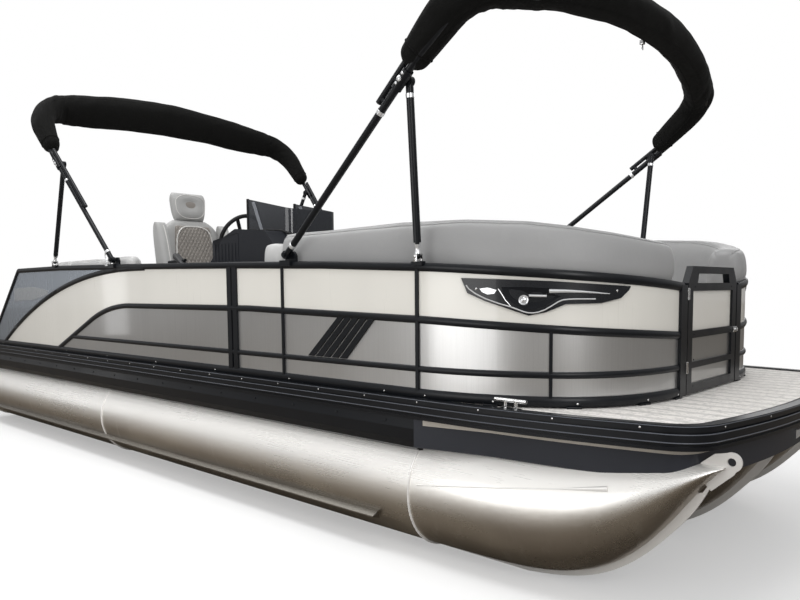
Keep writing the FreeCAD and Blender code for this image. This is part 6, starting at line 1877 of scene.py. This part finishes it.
@dataclass
class Console:
    """What sits on the helm console: screen trims, dials, switches, wheel grip and locker."""

    front: float = aft(2.780)
    outer: float = -1.070
    inner: float = -0.330
    screen: Pair = (-0.915, -0.500)
    wheel: Point = (aft(3.660), -0.690, 1.780)
    slope: float = 28.0

    def screen_trims(self) -> None:
        """Rubber bead round the foot of the screen, posts at its ends and strips at its splits."""
        port, starboard = self.screen
        foot = ((3.262, 1.803), (2.88, 1.7785), (2.80, 1.748))
        route = spots(*((x, port, z) for x, z in foot), *((x, starboard, z) for x, z in reversed(foot)))
        bead = Piece("screen_foot_bead").pipe(rounded(route, [0.05, 0.055, 0.055, 0.05]), 0.009)
        bead.build(RUBBER, Slot.TRIM)
        post = Piece("screen_posts")
        for y in self.screen:
            post.block((aft(3.262) - 0.004, y - 0.008, 1.79), (aft(3.262) + 0.012, y + 0.008, 2.018), 0.003)
        post.build(RUBBER, Slot.TRIM)
        split = Piece("screen_split_strips")
        outline = ((-1, -0.8), (-0.9, -1), (0.9, -1), (1, -0.8), (1, 0.8), (0.9, 1), (-0.9, 1), (-1, 0.8))
        for y in self.screen:
            rings = []
            for share, wide in ((0.0, 0.0145), (0.03, 0.016), (0.97, 0.016), (1.0, 0.0145)):
                x, z = aft(3.100 + 0.090 * share), 1.796 + 0.196 * share
                rings.append([Vector((x + wide * a, y + 0.0072 * b, z)) for a, b in outline])
            split.loft(rings)
        split.build(SPLIT_STRIP_WITH_PAINTED_HIGHLIGHT, Slot.TRIM)

    def dash(self) -> None:
        """Dials and rocker switches on the slope."""
        top = Surface("console")
        rims, faces, needles = Piece("dial_rims"), Piece("dial_faces"), Piece("dial_needles")
        rim = [(-0.004, 0.046), (0.008, 0.046), (0.012, 0.043), (0.010, 0.038), (0.004, 0.036)]
        for y in (-0.86, -0.75, -0.63, -0.52):
            place, normal = top.meet(spot(3.40, y, 2.6), -UP)
            rims.lathe(place, normal, rim, 32)
            faces.lathe(place + normal * 0.003, normal, [(0.0, 0.037), (0.0015, 0.036)], 32)
            tip = place + normal * 0.006
            hand = Vector((0.018, 0.016, 0.0))
            hand -= normal * hand.dot(normal)
            needles.pipe([tip - hand * 0.3, tip + hand], 0.0011, 6)
        rims.build(CHROME, Slot.STAINLESS)
        faces.build(DIAL_FACE, Slot.CONSOLE)
        needles.build(CONTROL_BLACK, Slot.WHEEL)
        rockers = Piece("rocker_switches")
        for index in range(6):
            above = spot(3.49, -0.93 + index * 0.032, 2.6)
            self.lay(rockers, top, above, (0.016, 0.010), (-0.004, 0.008), 0.003)
        rockers.build(CONTROL_BLACK, Slot.WHEEL)
        place = spot(3.43, -0.40, 2.6)
        display = self.lay(Piece("display_bezel"), top, place, (0.05, 0.045), (-0.003, 0.012), 0.004)
        display.build(CONTROL_BLACK, Slot.CONSOLE)
        glass = Piece("display_glass_sheet")
        self.lay(glass, top, place, (0.042, 0.038), (-0.002, 0.003), 0.002, 0.010)
        glass.build(DARK_GLASS, Slot.CONSOLE)

    @staticmethod
    def lay(
        piece: Piece, top: Surface, above: Vector, half: Pair, rise: Pair, radius: float, lift: float = 0.0
    ) -> Piece:
        """Lays a block down on the slope.

        Args:
            piece: Piece that gets the block.
            top: The console's skin.
            above: Point straight above the block.
            half: Half its length and width.
            rise: Its lowest and highest face.
            radius: Radius of its edges.
            lift: Height of the whole above the slope.

        Returns:
            The piece.
        """
        place, normal = top.meet(above, -UP)
        place = place + normal * lift
        spin = UP.rotation_difference(normal).to_matrix()
        low = place + Vector((-half[0], -half[1], rise[0]))
        return piece.block(low, place + Vector((half[0], half[1], rise[1])), radius, spin)

    def shell_lines(self) -> None:
        """Moulding lines, the locker doors with their latch and a grab rail in front."""
        lines = Piece("console_moulding_lines")
        x, outer, inner = self.front + 0.0005, self.outer - 0.0005, self.inner + 0.0005
        for z in (1.30, 1.52):
            route = [spot(3.40, outer, z), Vector((x, outer, z)), Vector((x, inner, z)), spot(3.40, inner, z)]
            lines.pipe(rounded(route, [0.004, 0.004]), 0.003, 6)
        lines.build(CONTROL_BLACK, Slot.CONSOLE)
        door = Piece("console_locker_door")
        for low, high in ((self.inner - 0.002, self.inner + 0.012), (self.outer - 0.010, self.outer + 0.002)):
            door.block((aft(3.36), low, 0.96), (aft(2.88), high, 1.24), 0.006)
        door.build(CONSOLE_SHELL, Slot.CONSOLE)
        knob = [(0, 0.016), (0.006, 0.016), (0.009, 0.011)]
        latch = Piece("console_latches").lathe(spot(2.93, self.inner + 0.011, 1.10), ACROSS, knob)
        latch.build(STAINLESS, Slot.STAINLESS)
        ends = ((-0.004, -0.93), (0.050, -0.93), (0.050, -0.47), (-0.004, -0.47))
        route = rounded([Vector((self.front + out, y, 1.585)) for out, y in ends], [0.035, 0.035])
        Piece("console_grab_rail").pipe(route, 0.0125, 14).build(STAINLESS, Slot.STAINLESS)

    def side_cheek(self) -> None:
        """Ribbed outboard cheek that carries the console's side wall back beside the wheel."""
        corners = ((3.16, 1.20), (3.470, 1.20), (3.470, 1.733), (3.16, 1.772), (3.16, 1.20))
        profile = rounded([spot(x, 0.0, z) for x, z in corners], [0.03, 0.022, 0.01])[:-1]
        levels = ((-1.068, 0.97), (-1.072, 1.0), (-1.036, 1.0), (-1.030, 0.97))
        middle = spot(3.315, 0.0, 1.48)
        rings = [[middle + (point - middle) * size + ACROSS * y for point in profile] for y, size in levels]
        Piece("console_side_cheek").loft(rings).build(CONSOLE_SHELL, Slot.CONSOLE)
        ribs = Piece("console_cheek_ribs")
        for index in range(7):
            x = aft(3.440) + index * 0.040
            marks = ((-1.0715, 1.24), (-1.0725, 1.5), (-1.0715, 1.705))
            ribs.pipe([Vector((x, y, z)) for y, z in marks], 0.0034, 8, OUTBOARD)
        ribs.build(CONSOLE_SHELL, Slot.CONSOLE)

    def wheel_grip(self) -> None:
        """Stitched grip ridges and a centre cap on the wheel."""
        slope = math.radians(self.slope)
        axis = Vector((-math.cos(slope), 0, math.sin(slope)))
        centre = Vector(self.wheel)
        side = axis.cross(ACROSS).normalized()
        cap = [(0, 0.034), (0.004, 0.034), (0.008, 0.028), (0.010, 0.012)]
        knob = Piece("wheel_centre_cap").lathe(centre + axis * 0.016, axis, cap, 28)
        knob.build(CHROME, Slot.STAINLESS, "helm_wheel")
        grip = Piece("wheel_grip_stitches")
        for c, s in circle(96):
            place = centre + (ACROSS * c + side * s) * 0.1655
            stitch = (ACROSS * -s + side * c) * 0.003 - axis * 0.0025
            grip.pipe([place - stitch, place + stitch], 0.0010, 5)
        grip.build(PIPING_VINYL, Slot.WHEEL, "helm_wheel")

    def build(self) -> None:
        """Builds the console's fittings in order."""
        self.screen_trims()
        self.dash()
        self.shell_lines()
        self.side_cheek()
        self.wheel_grip()


@dataclass
class Canopy:
    """Stowed canopy on its raked hoop, with the hoop's clamps, clips and straps."""

    name: str
    pivot: Pair
    heading: int
    rake: float
    knuckle: float
    spread: float
    reach: float
    crown: float
    slope: float
    corner: float
    lift: float
    inset: float
    sections: Tuple[Pair, Pair, Pair]
    brace_foot: Pair
    half: float = 1.265
    ribs: int = 160
    hang: float = 0.0
    trim: float = 0.0

    def __post_init__(self) -> None:
        """Works out the hoop's directions."""
        angle = math.radians(self.rake)
        self.origin = spot(self.pivot[0], 0.0, self.pivot[1])
        self.along = Vector((self.heading * math.cos(angle), 0.0, math.sin(angle)))
        self.normal = Vector((-self.heading * math.sin(angle), 0.0, math.cos(angle)))
        self.body = f"{self.name}_canopy"
        self.props = f"{self.name}_props"

    def place(self, reach: float, across: float, lift: float = 0.0) -> Vector:
        """Point of the hoop's plane by its reach, its place across and its height above it."""
        return self.origin + self.along * reach + ACROSS * across + self.normal * lift

    def leg_half(self, reach: float) -> float:
        """Half width of the hoop at a reach below its knuckle."""
        return self.half + (self.spread + 0.010 - self.half) * reach / (self.knuckle + 0.120)

    def on_leg(self, reach: float, side: int, out: float = 0.0) -> Vector:
        """Point of a leg at a reach, moved outboard."""
        return self.place(reach, side * (self.leg_half(reach) + out))

    def brace(self, side: int) -> Tuple[Vector, Vector]:
        """Top and foot of a side's brace."""
        foot = spot(self.brace_foot[0], side * self.half, self.brace_foot[1])
        return self.on_leg(self.knuckle, side, -0.048), foot

    def boot_line(self) -> Line:
        """Middle line of the stowed canopy."""
        half = self.spread + 0.010 - self.inset
        slope = math.radians(self.slope)
        peak = self.reach + self.crown * (1 / math.cos(slope) - 1)
        shoulder = peak - half * math.tan(slope)
        low = self.knuckle + 0.048
        foot = self.leg_half(low) - self.inset / 2
        points = [
            self.place(low, -foot, self.lift * 0.6),
            self.place(shoulder, -half, self.lift),
            self.place(peak, 0.0, self.lift),
            self.place(shoulder, half, self.lift),
            self.place(low, foot, self.lift * 0.6),
        ]
        fine = even(rounded(points, [self.corner, self.crown, self.corner], 2.0), 801)
        cut = int(self.trim * 800)
        return even(fine[cut : len(fine) - cut], self.ribs + 1)

    def size(self, share: float) -> Pair:
        """Width and depth of the roll at a share of its length."""
        end, full, middle = self.sections
        share = min(share, 1 - share)
        if share < 0.15:
            first, second, ease = end, full, math.sin(math.pi / 2 * share / 0.15)
        else:
            first, second, ease = full, middle, (share - 0.15) / 0.35
        return first[0] + (second[0] - first[0]) * ease, first[1] + (second[1] - first[1]) * ease

    def roll_rings(self) -> List[Line]:
        """Rings of the canvas roll with folds, drag lines at the corners and slack ends."""
        seed = 3.7 if self.heading > 0 else 9.1
        rings = []
        for index, (point, side, above) in enumerate(frames(self.boot_line(), self.normal)):
            share = index / self.ribs
            run = share * 9.0
            wide, deep = self.size(share)
            near = min(share, 1 - share)
            bend = math.exp(-(((near - 0.17) / 0.07) ** 2))
            shrink = 0.35 + 0.65 * min(near / 0.012, 1.0) ** 0.5
            ring = []
            for step, (cosine, sine) in enumerate(circle(56)):
                c, s = bowed(cosine, 0.85), bowed(sine, 0.85)
                angle = FULL * step / 56
                around = Vector((cosine, sine, 0.0))
                fold = noise.noise(Vector((run * 1.3 + seed, 0.0, 0.0)) + around * 0.9) * 0.007
                fold += noise.noise(Vector((run * 3.1, seed, 4.0)) + around * 1.5) * 0.0035
                fold += noise.noise(Vector((run * 7.0 + c * 2.2, c * 1.2, s * 1.2 + seed))) * 0.010 * bend
                grow = fold + 0.003 * dent(angle - 4.55, 0.10) + 0.002 * dent(angle - 1.45, 0.07) - 0.004
                skin = side * (c * (wide / 2 + grow) * shrink) + above * (s * (deep / 2 + grow) * shrink)
                under = max(-skin.normalized().z, 0.0)
                skin.z -= self.hang * under**1.4 * soft_step((near - 0.05) / 0.27)
                ring.append(point + skin)
            rings.append(ring)
        return rings

    def build_boot(self) -> None:
        """Builds the canvas roll, its seams and its cuffs."""
        rings = self.roll_rings()
        roll = Piece(f"{self.name}_boot_canvas").loft(rings)
        thing = roll.build(BLACK_CANVAS, Slot.CANVAS, self.body, 80.0, 1)
        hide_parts(f"{self.name}_boot")
        seam = Piece(f"{self.name}_boot_seams")
        for step in (14, 34, 42):
            seam.pipe([ring[step] for ring in rings[3:-3]], 0.0024, 6, self.normal)
        seam.build(BLACK_CANVAS, Slot.CANVAS, self.body)
        cuffs = Piece(f"{self.name}_boot_cuffs")
        for ring in (rings[4], rings[self.ribs - 4]):
            middle = middle_of(ring)
            loop = [point + (point - middle).normalized() * 0.0005 for point in ring]
            cuffs.pipe(loop, 0.0042, 6, self.normal, True)
        cuffs.build(BLACK_CANVAS, Slot.CANVAS, self.body)

    def build_clamps(self) -> None:
        """Bright knuckle bolts, clamp bands, ball feet and forks of the legs and braces."""
        bands = Piece(f"{self.name}_leg_bands")
        feet = Piece(f"{self.name}_brace_bands")
        pins = Piece(f"{self.name}_pivot_caps")
        forks = Piece(f"{self.name}_brace_forks")
        neck = [(0, 0.0185), (0.006, 0.0165), (0.012, 0.0125)]
        ball = neck + [(0.030, 0.0120), (0.036, 0.0150), (0.046, 0.0158)]
        for side in (-1, 1):
            out = ACROSS * side
            for reach in (0.085, self.knuckle - 0.20):
                centre = self.on_leg(reach, side)
                heading = (self.on_leg(reach + 0.1, side) - centre).normalized()
                bands.lathe(centre - heading * 0.011, heading, self.band(0.022))
            bands.head(self.on_leg(self.knuckle, side, 0.024), out, 0.014, 0.008, 16)
            for reach in (self.knuckle - 0.028, self.knuckle + 0.030):
                bands.head(self.on_leg(reach, side, 0.024), out, 0.0075, 0.006, 12)
            top, foot = self.brace(side)
            heading = (foot - top).normalized()
            feet.lathe(foot - heading * 0.062, heading, ball)
            feet.lathe(top + heading * 0.052, heading, self.band(0.021))
            pins.head(self.origin + out * (self.half + 0.021), out, 0.0125, 0.007, 16)
            for edge in (-0.0215, 0.0215):
                low = foot + Vector((-0.012, edge - 0.0025, -0.024))
                forks.block(low, foot + Vector((0.012, edge + 0.0025, 0.014)), 0.002)
            forks.head(foot + out * 0.024, out, 0.007, 0.004, 12)
        bands.build(CHROME, Slot.STAINLESS, self.body)
        feet.build(CHROME, Slot.STAINLESS, self.props)
        pins.build(STAINLESS, Slot.STAINLESS)
        forks.build(STAINLESS, Slot.STAINLESS)

    @staticmethod
    def band(length: float) -> List[Pair]:
        """Profile of a clamp band of a length."""
        return [(0, 0.0195), (0.001, 0.0212), (length - 0.001, 0.0212), (length, 0.0195)]

    def build_straps(self) -> None:
        """Hold-down strap loops and buckles of the rear canopy."""
        strap, buckle = Piece("rear_strap_loops"), Piece("rear_brace_buckles")
        marks = ((-0.010, -0.030), (-0.034, 0.060), (0.002, 0.118), (0.036, 0.060), (0.046, -0.026))
        for side in (-1, 1):
            base = Vector((self.origin.x - 0.085, side * self.half, self.origin.z - 0.012))
            loop = rounded([base + Vector((x, 0, z)) for x, z in marks], [0.020, 0.018, 0.020])
            strap.pipe(loop, 0.0055, 8, ACROSS)
            low = base + Vector((-0.022, -0.014, -0.036))
            strap.block(low, base + Vector((0.058, 0.014, -0.024)), 0.004)
            top, foot = self.brace(side)
            for low, high in ((0.30, 0.375), (0.39, 0.47)):
                run = [top.lerp(foot, low + (high - low) * step / 6) - FORWARD * 0.026 for step in range(7)]
                buckle.pipe(run, [0.006, 0.011, 0.012, 0.009, 0.012, 0.011, 0.006], 10, ACROSS, flat=0.6)
        strap.build(CHROME, Slot.STAINLESS)
        buckle.build(CHROME, Slot.STAINLESS, self.props)

    def build_clip(self) -> None:
        """Clip that hangs from the front roll."""
        number = int(self.ribs * 0.53)
        point, side, _ = frames(self.boot_line(), self.normal)[number]
        reach = self.size(number / self.ribs)[0] / 2 - 0.004
        inner = point - side * math.copysign(reach, side.dot(self.along))
        half = Vector((0.012, 0.012, 0.014))
        clip = Piece("front_boot_clip").block(inner - UP * 0.020 - half, inner - UP * 0.020 + half, 0.003)
        for near, far, drop in ((0.006, 0.008, 0.062), (-0.006, -0.010, 0.058)):
            ends = [inner - UP * 0.030 + ACROSS * near, inner - UP * drop + ACROSS * far]
            clip.pipe(ends, 0.003, 8, FORWARD)
        clip.build(STAINLESS, Slot.STAINLESS, self.body)

    def build(self) -> None:
        """Builds the canopy's parts in order."""
        self.build_boot()
        self.build_clamps()
        if self.heading < 0:
            self.build_straps()
        else:
            self.build_clip()


@dataclass
class Lockers:
    """Doors and latches on the moulded seat bases."""

    rows: Sequence[Tuple[int, float, int, float, float]] = ((3, 5.45, 1, 0.80, 0.64), (2, 6.00, -1, 0.52, 0.44))

    def build(self) -> None:
        """Builds each row's doors and latches."""
        doors, latches = Piece("seat_base_doors"), Piece("seat_base_latches")
        for count, start, side, pitch, wide in self.rows:
            low, high = sorted((side * 0.642, side * 0.652))
            for x in (aft(start) + index * pitch for index in range(count)):
                doors.block((x, low, 0.905), (x + wide, high, 1.095), 0.006)
                knob = [(0, 0.015), (0.004, 0.015), (0.006, 0.011)]
                latches.lathe(Vector((x + wide / 2, side * 0.643, 1.065)), ACROSS * -side, knob, 18)
        doors.build(SEAT_BASE, Slot.BASE)
        latches.build(STAINLESS, Slot.STAINLESS)


@dataclass
class Outboard:
    """Seam and stripe of the outboard's cowl, in its own tilted frame."""

    tilt: float = 52.0

    def build(self) -> None:
        """Lays a band of points down on the cowl's own skin."""
        skin = Surface("engine_cowl")
        low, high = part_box("engine_cowl")
        turn = Matrix.Rotation(math.radians(self.tilt), 3, "Y")
        up, flow = turn @ UP, turn @ FORWARD
        for name, offset, wide, finish in (
            ("cowl_seam", -0.070, 0.0045, RUBBER),
            ("cowl_stripe", 0.035, 0.0030, CHROME),
        ):
            loop = []
            for c, s in circle(120):
                ray = flow * c + ACROSS * s
                found = skin.meet((low + high) / 2 + up * offset + ray * 0.9, -ray)
                if found is not None:
                    loop.append(found[0] + found[1] * 0.0008)
            Piece(name).pipe(loop, wide, 8, up, True).build(finish, Slot.ENGINE, "engine")


class Studio:
    """Camera, floor and soft light."""

    def camera(self) -> None:
        """Sets the photograph's view from its fitted place and turn."""
        azimuth, pitch, roll = (math.radians(angle) for angle in (42.591, 4.576, -0.493))
        level = Vector((-math.sin(azimuth), math.cos(azimuth), 0.0))
        ahead = level * math.cos(pitch) - UP * math.sin(pitch)
        right = Vector((math.cos(azimuth), math.sin(azimuth), 0.0))
        above = right.cross(ahead)
        turned = right * math.cos(roll) + above * math.sin(roll)
        upright = above * math.cos(roll) - right * math.sin(roll)
        data = bpy.data.cameras.new("photo_camera")
        data.sensor_width = 36.0
        data.lens = 714.04 / 800.0 * 36.0
        data.shift_y = (345.03 - 300.0) / 800.0
        data.clip_end = 200.0
        thing = linked("photo_camera", data)
        turn = Matrix((turned, upright, -ahead)).transposed().to_4x4()
        thing.matrix_world = Matrix.Translation(Vector((5.483, -3.912, 1.392))) @ turn
        bpy.context.scene.camera = thing

    def floor(self) -> None:
        """Pale floor that keeps the boat's shadow."""
        mesh = bpy.data.meshes.new("studio_floor")
        corners = [(-60.0, -60.0, 0.0), (60.0, -60.0, 0.0), (60.0, 60.0, 0.0), (-60.0, 60.0, 0.0)]
        mesh.from_pydata(corners, [], [(0, 1, 2, 3)])
        thing = linked("studio_floor", mesh)
        material = bpy.data.materials.new("studio_floor")
        material.use_nodes = True
        graph = Graph(material.node_tree)
        x, y, _ = graph.axes(graph.place())
        far = ((x * x + y * y) ** 0.5).span(4.7, 7.2)
        seen = graph.add("ShaderNodeLightPath")
        mirrored = graph.add("ShaderNodeLightPath", out=3)
        dark = graph.mix(graph.noise(0.8), (0.13, 0.112, 0.092, 1.0), (0.24, 0.212, 0.178, 1.0))
        plain = graph.mix(mirrored, (0.55, 0.54, 0.53, 1.0), dark)
        colour = graph.mix(seen, plain, (0.96, 0.96, 0.96, 1.0))
        lit = graph.add("ShaderNodeBsdfDiffuse", {}, {"Color": colour})
        white = graph.add("ShaderNodeEmission", {}, {"Color": WHITE, "Strength": 1.0})
        fade = graph.add("ShaderNodeMixShader", {}, {0: (far * 0.66 + 0.34) * seen, 1: lit, 2: white})
        graph.add("ShaderNodeOutputMaterial", {}, {0: fade})
        mesh.materials.append(material)

    def world(self) -> None:
        """Soft world light that the camera sees as plain white."""
        world = bpy.data.worlds.new("studio_light")
        world.use_nodes = True
        bpy.context.scene.world = world
        graph = Graph(world.node_tree)
        level = graph.axes(graph.add("ShaderNodeTexCoord"))[2].span(-0.05, 0.75)
        tone = graph.mix(level, (0.30, 0.30, 0.305, 1.0), (0.62, 0.62, 0.62, 1.0))
        seen = graph.mix(graph.add("ShaderNodeLightPath"), tone, WHITE)
        back = graph.add("ShaderNodeBackground", {}, {"Color": seen, "Strength": 1.0})
        graph.add("ShaderNodeOutputWorld", {}, {0: back})

    def lamps(self) -> None:
        """Overhead and side softboxes."""
        for name, place, aim, size, power in (
            ("overhead_softbox", (0.0, -2.0, 7.0), (0.0, 0.0, 0.8), (11.0, 3.0), 400.0),
            ("bow_softbox", (9.5, -5.5, 4.0), (2.5, 0.0, 1.0), (3.0, 4.0), 190.0),
            ("side_softbox", (1.4, -7.6, 1.60), (1.4, 0.0, 1.1), (5.2, 3.1), 125.0),
            ("quarter_softbox", (-13.0, -7.5, 1.8), (-2.5, 0.0, 0.9), (0.6, 3.2), 16.0),
            ("port_softbox", (1.0, 8.5, 4.5), (0.0, 0.0, 1.0), (7.0, 3.0), 150.0),
        ):
            data = bpy.data.lights.new(name, "AREA")
            data.shape = "RECTANGLE"
            data.size, data.size_y = size
            data.energy = power
            thing = linked(name, data)
            turn = (Vector(aim) - Vector(place)).to_track_quat("-Z", "Y").to_matrix().to_4x4()
            thing.matrix_world = Matrix.Translation(Vector(place)) @ turn

    def build(self) -> None:
        """Sets up the view, the floor and the light."""
        bpy.context.scene.view_settings.view_transform = "Standard"
        self.camera()
        self.floor()
        self.world()
        self.lamps()


FRONT_CANOPY = Canopy(
    "front", (2.403, 1.590), 1, 36.0, 1.298, 1.404, 2.035, 3.650, 18.0, 0.250, 0.066, 0.040,
    ((0.130, 0.140), (0.190, 0.182), (0.190, 0.188)), (1.384, 1.542),
)
REAR_CANOPY = Canopy(
    "rear", (4.589, 1.632), -1, 49.5, 1.080, 1.365, 1.982, 3.900, 17.0, 0.330, 0.028, 0.020,
    ((0.120, 0.140), (0.190, 0.210), (0.240, 0.222)), (5.689, 1.642), hang=0.085, trim=0.025,
)


def dress_nodes() -> None:
    """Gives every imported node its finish."""
    finishes = {node: finish for finish, nodes in FINISH_NODES.items() for node in nodes.split()}
    for name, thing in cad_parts.items():
        material = finishes[name].make()
        if not thing.data.materials:
            thing.data.materials.append(material)
        for number in range(len(thing.data.materials)):
            thing.data.materials[number] = material
    LOG.info("dressed %d nodes", len(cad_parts))


def main() -> None:
    """Builds the boat's sub-assemblies in order and reports each one."""
    logging.basicConfig(level=logging.INFO, format="%(name)s: %(message)s")
    Studio().build()
    dress_nodes()
    inside = (BowLounge(), AftLounge(), PortLounge(), Lockers(), Console(), Chair())
    for part in (Hull(), Fence(), *inside, FRONT_CANOPY, REAR_CANOPY, Outboard()):
        part.build()
        LOG.info("built %s", type(part).__name__)


if __name__ == "__main__":
    main()
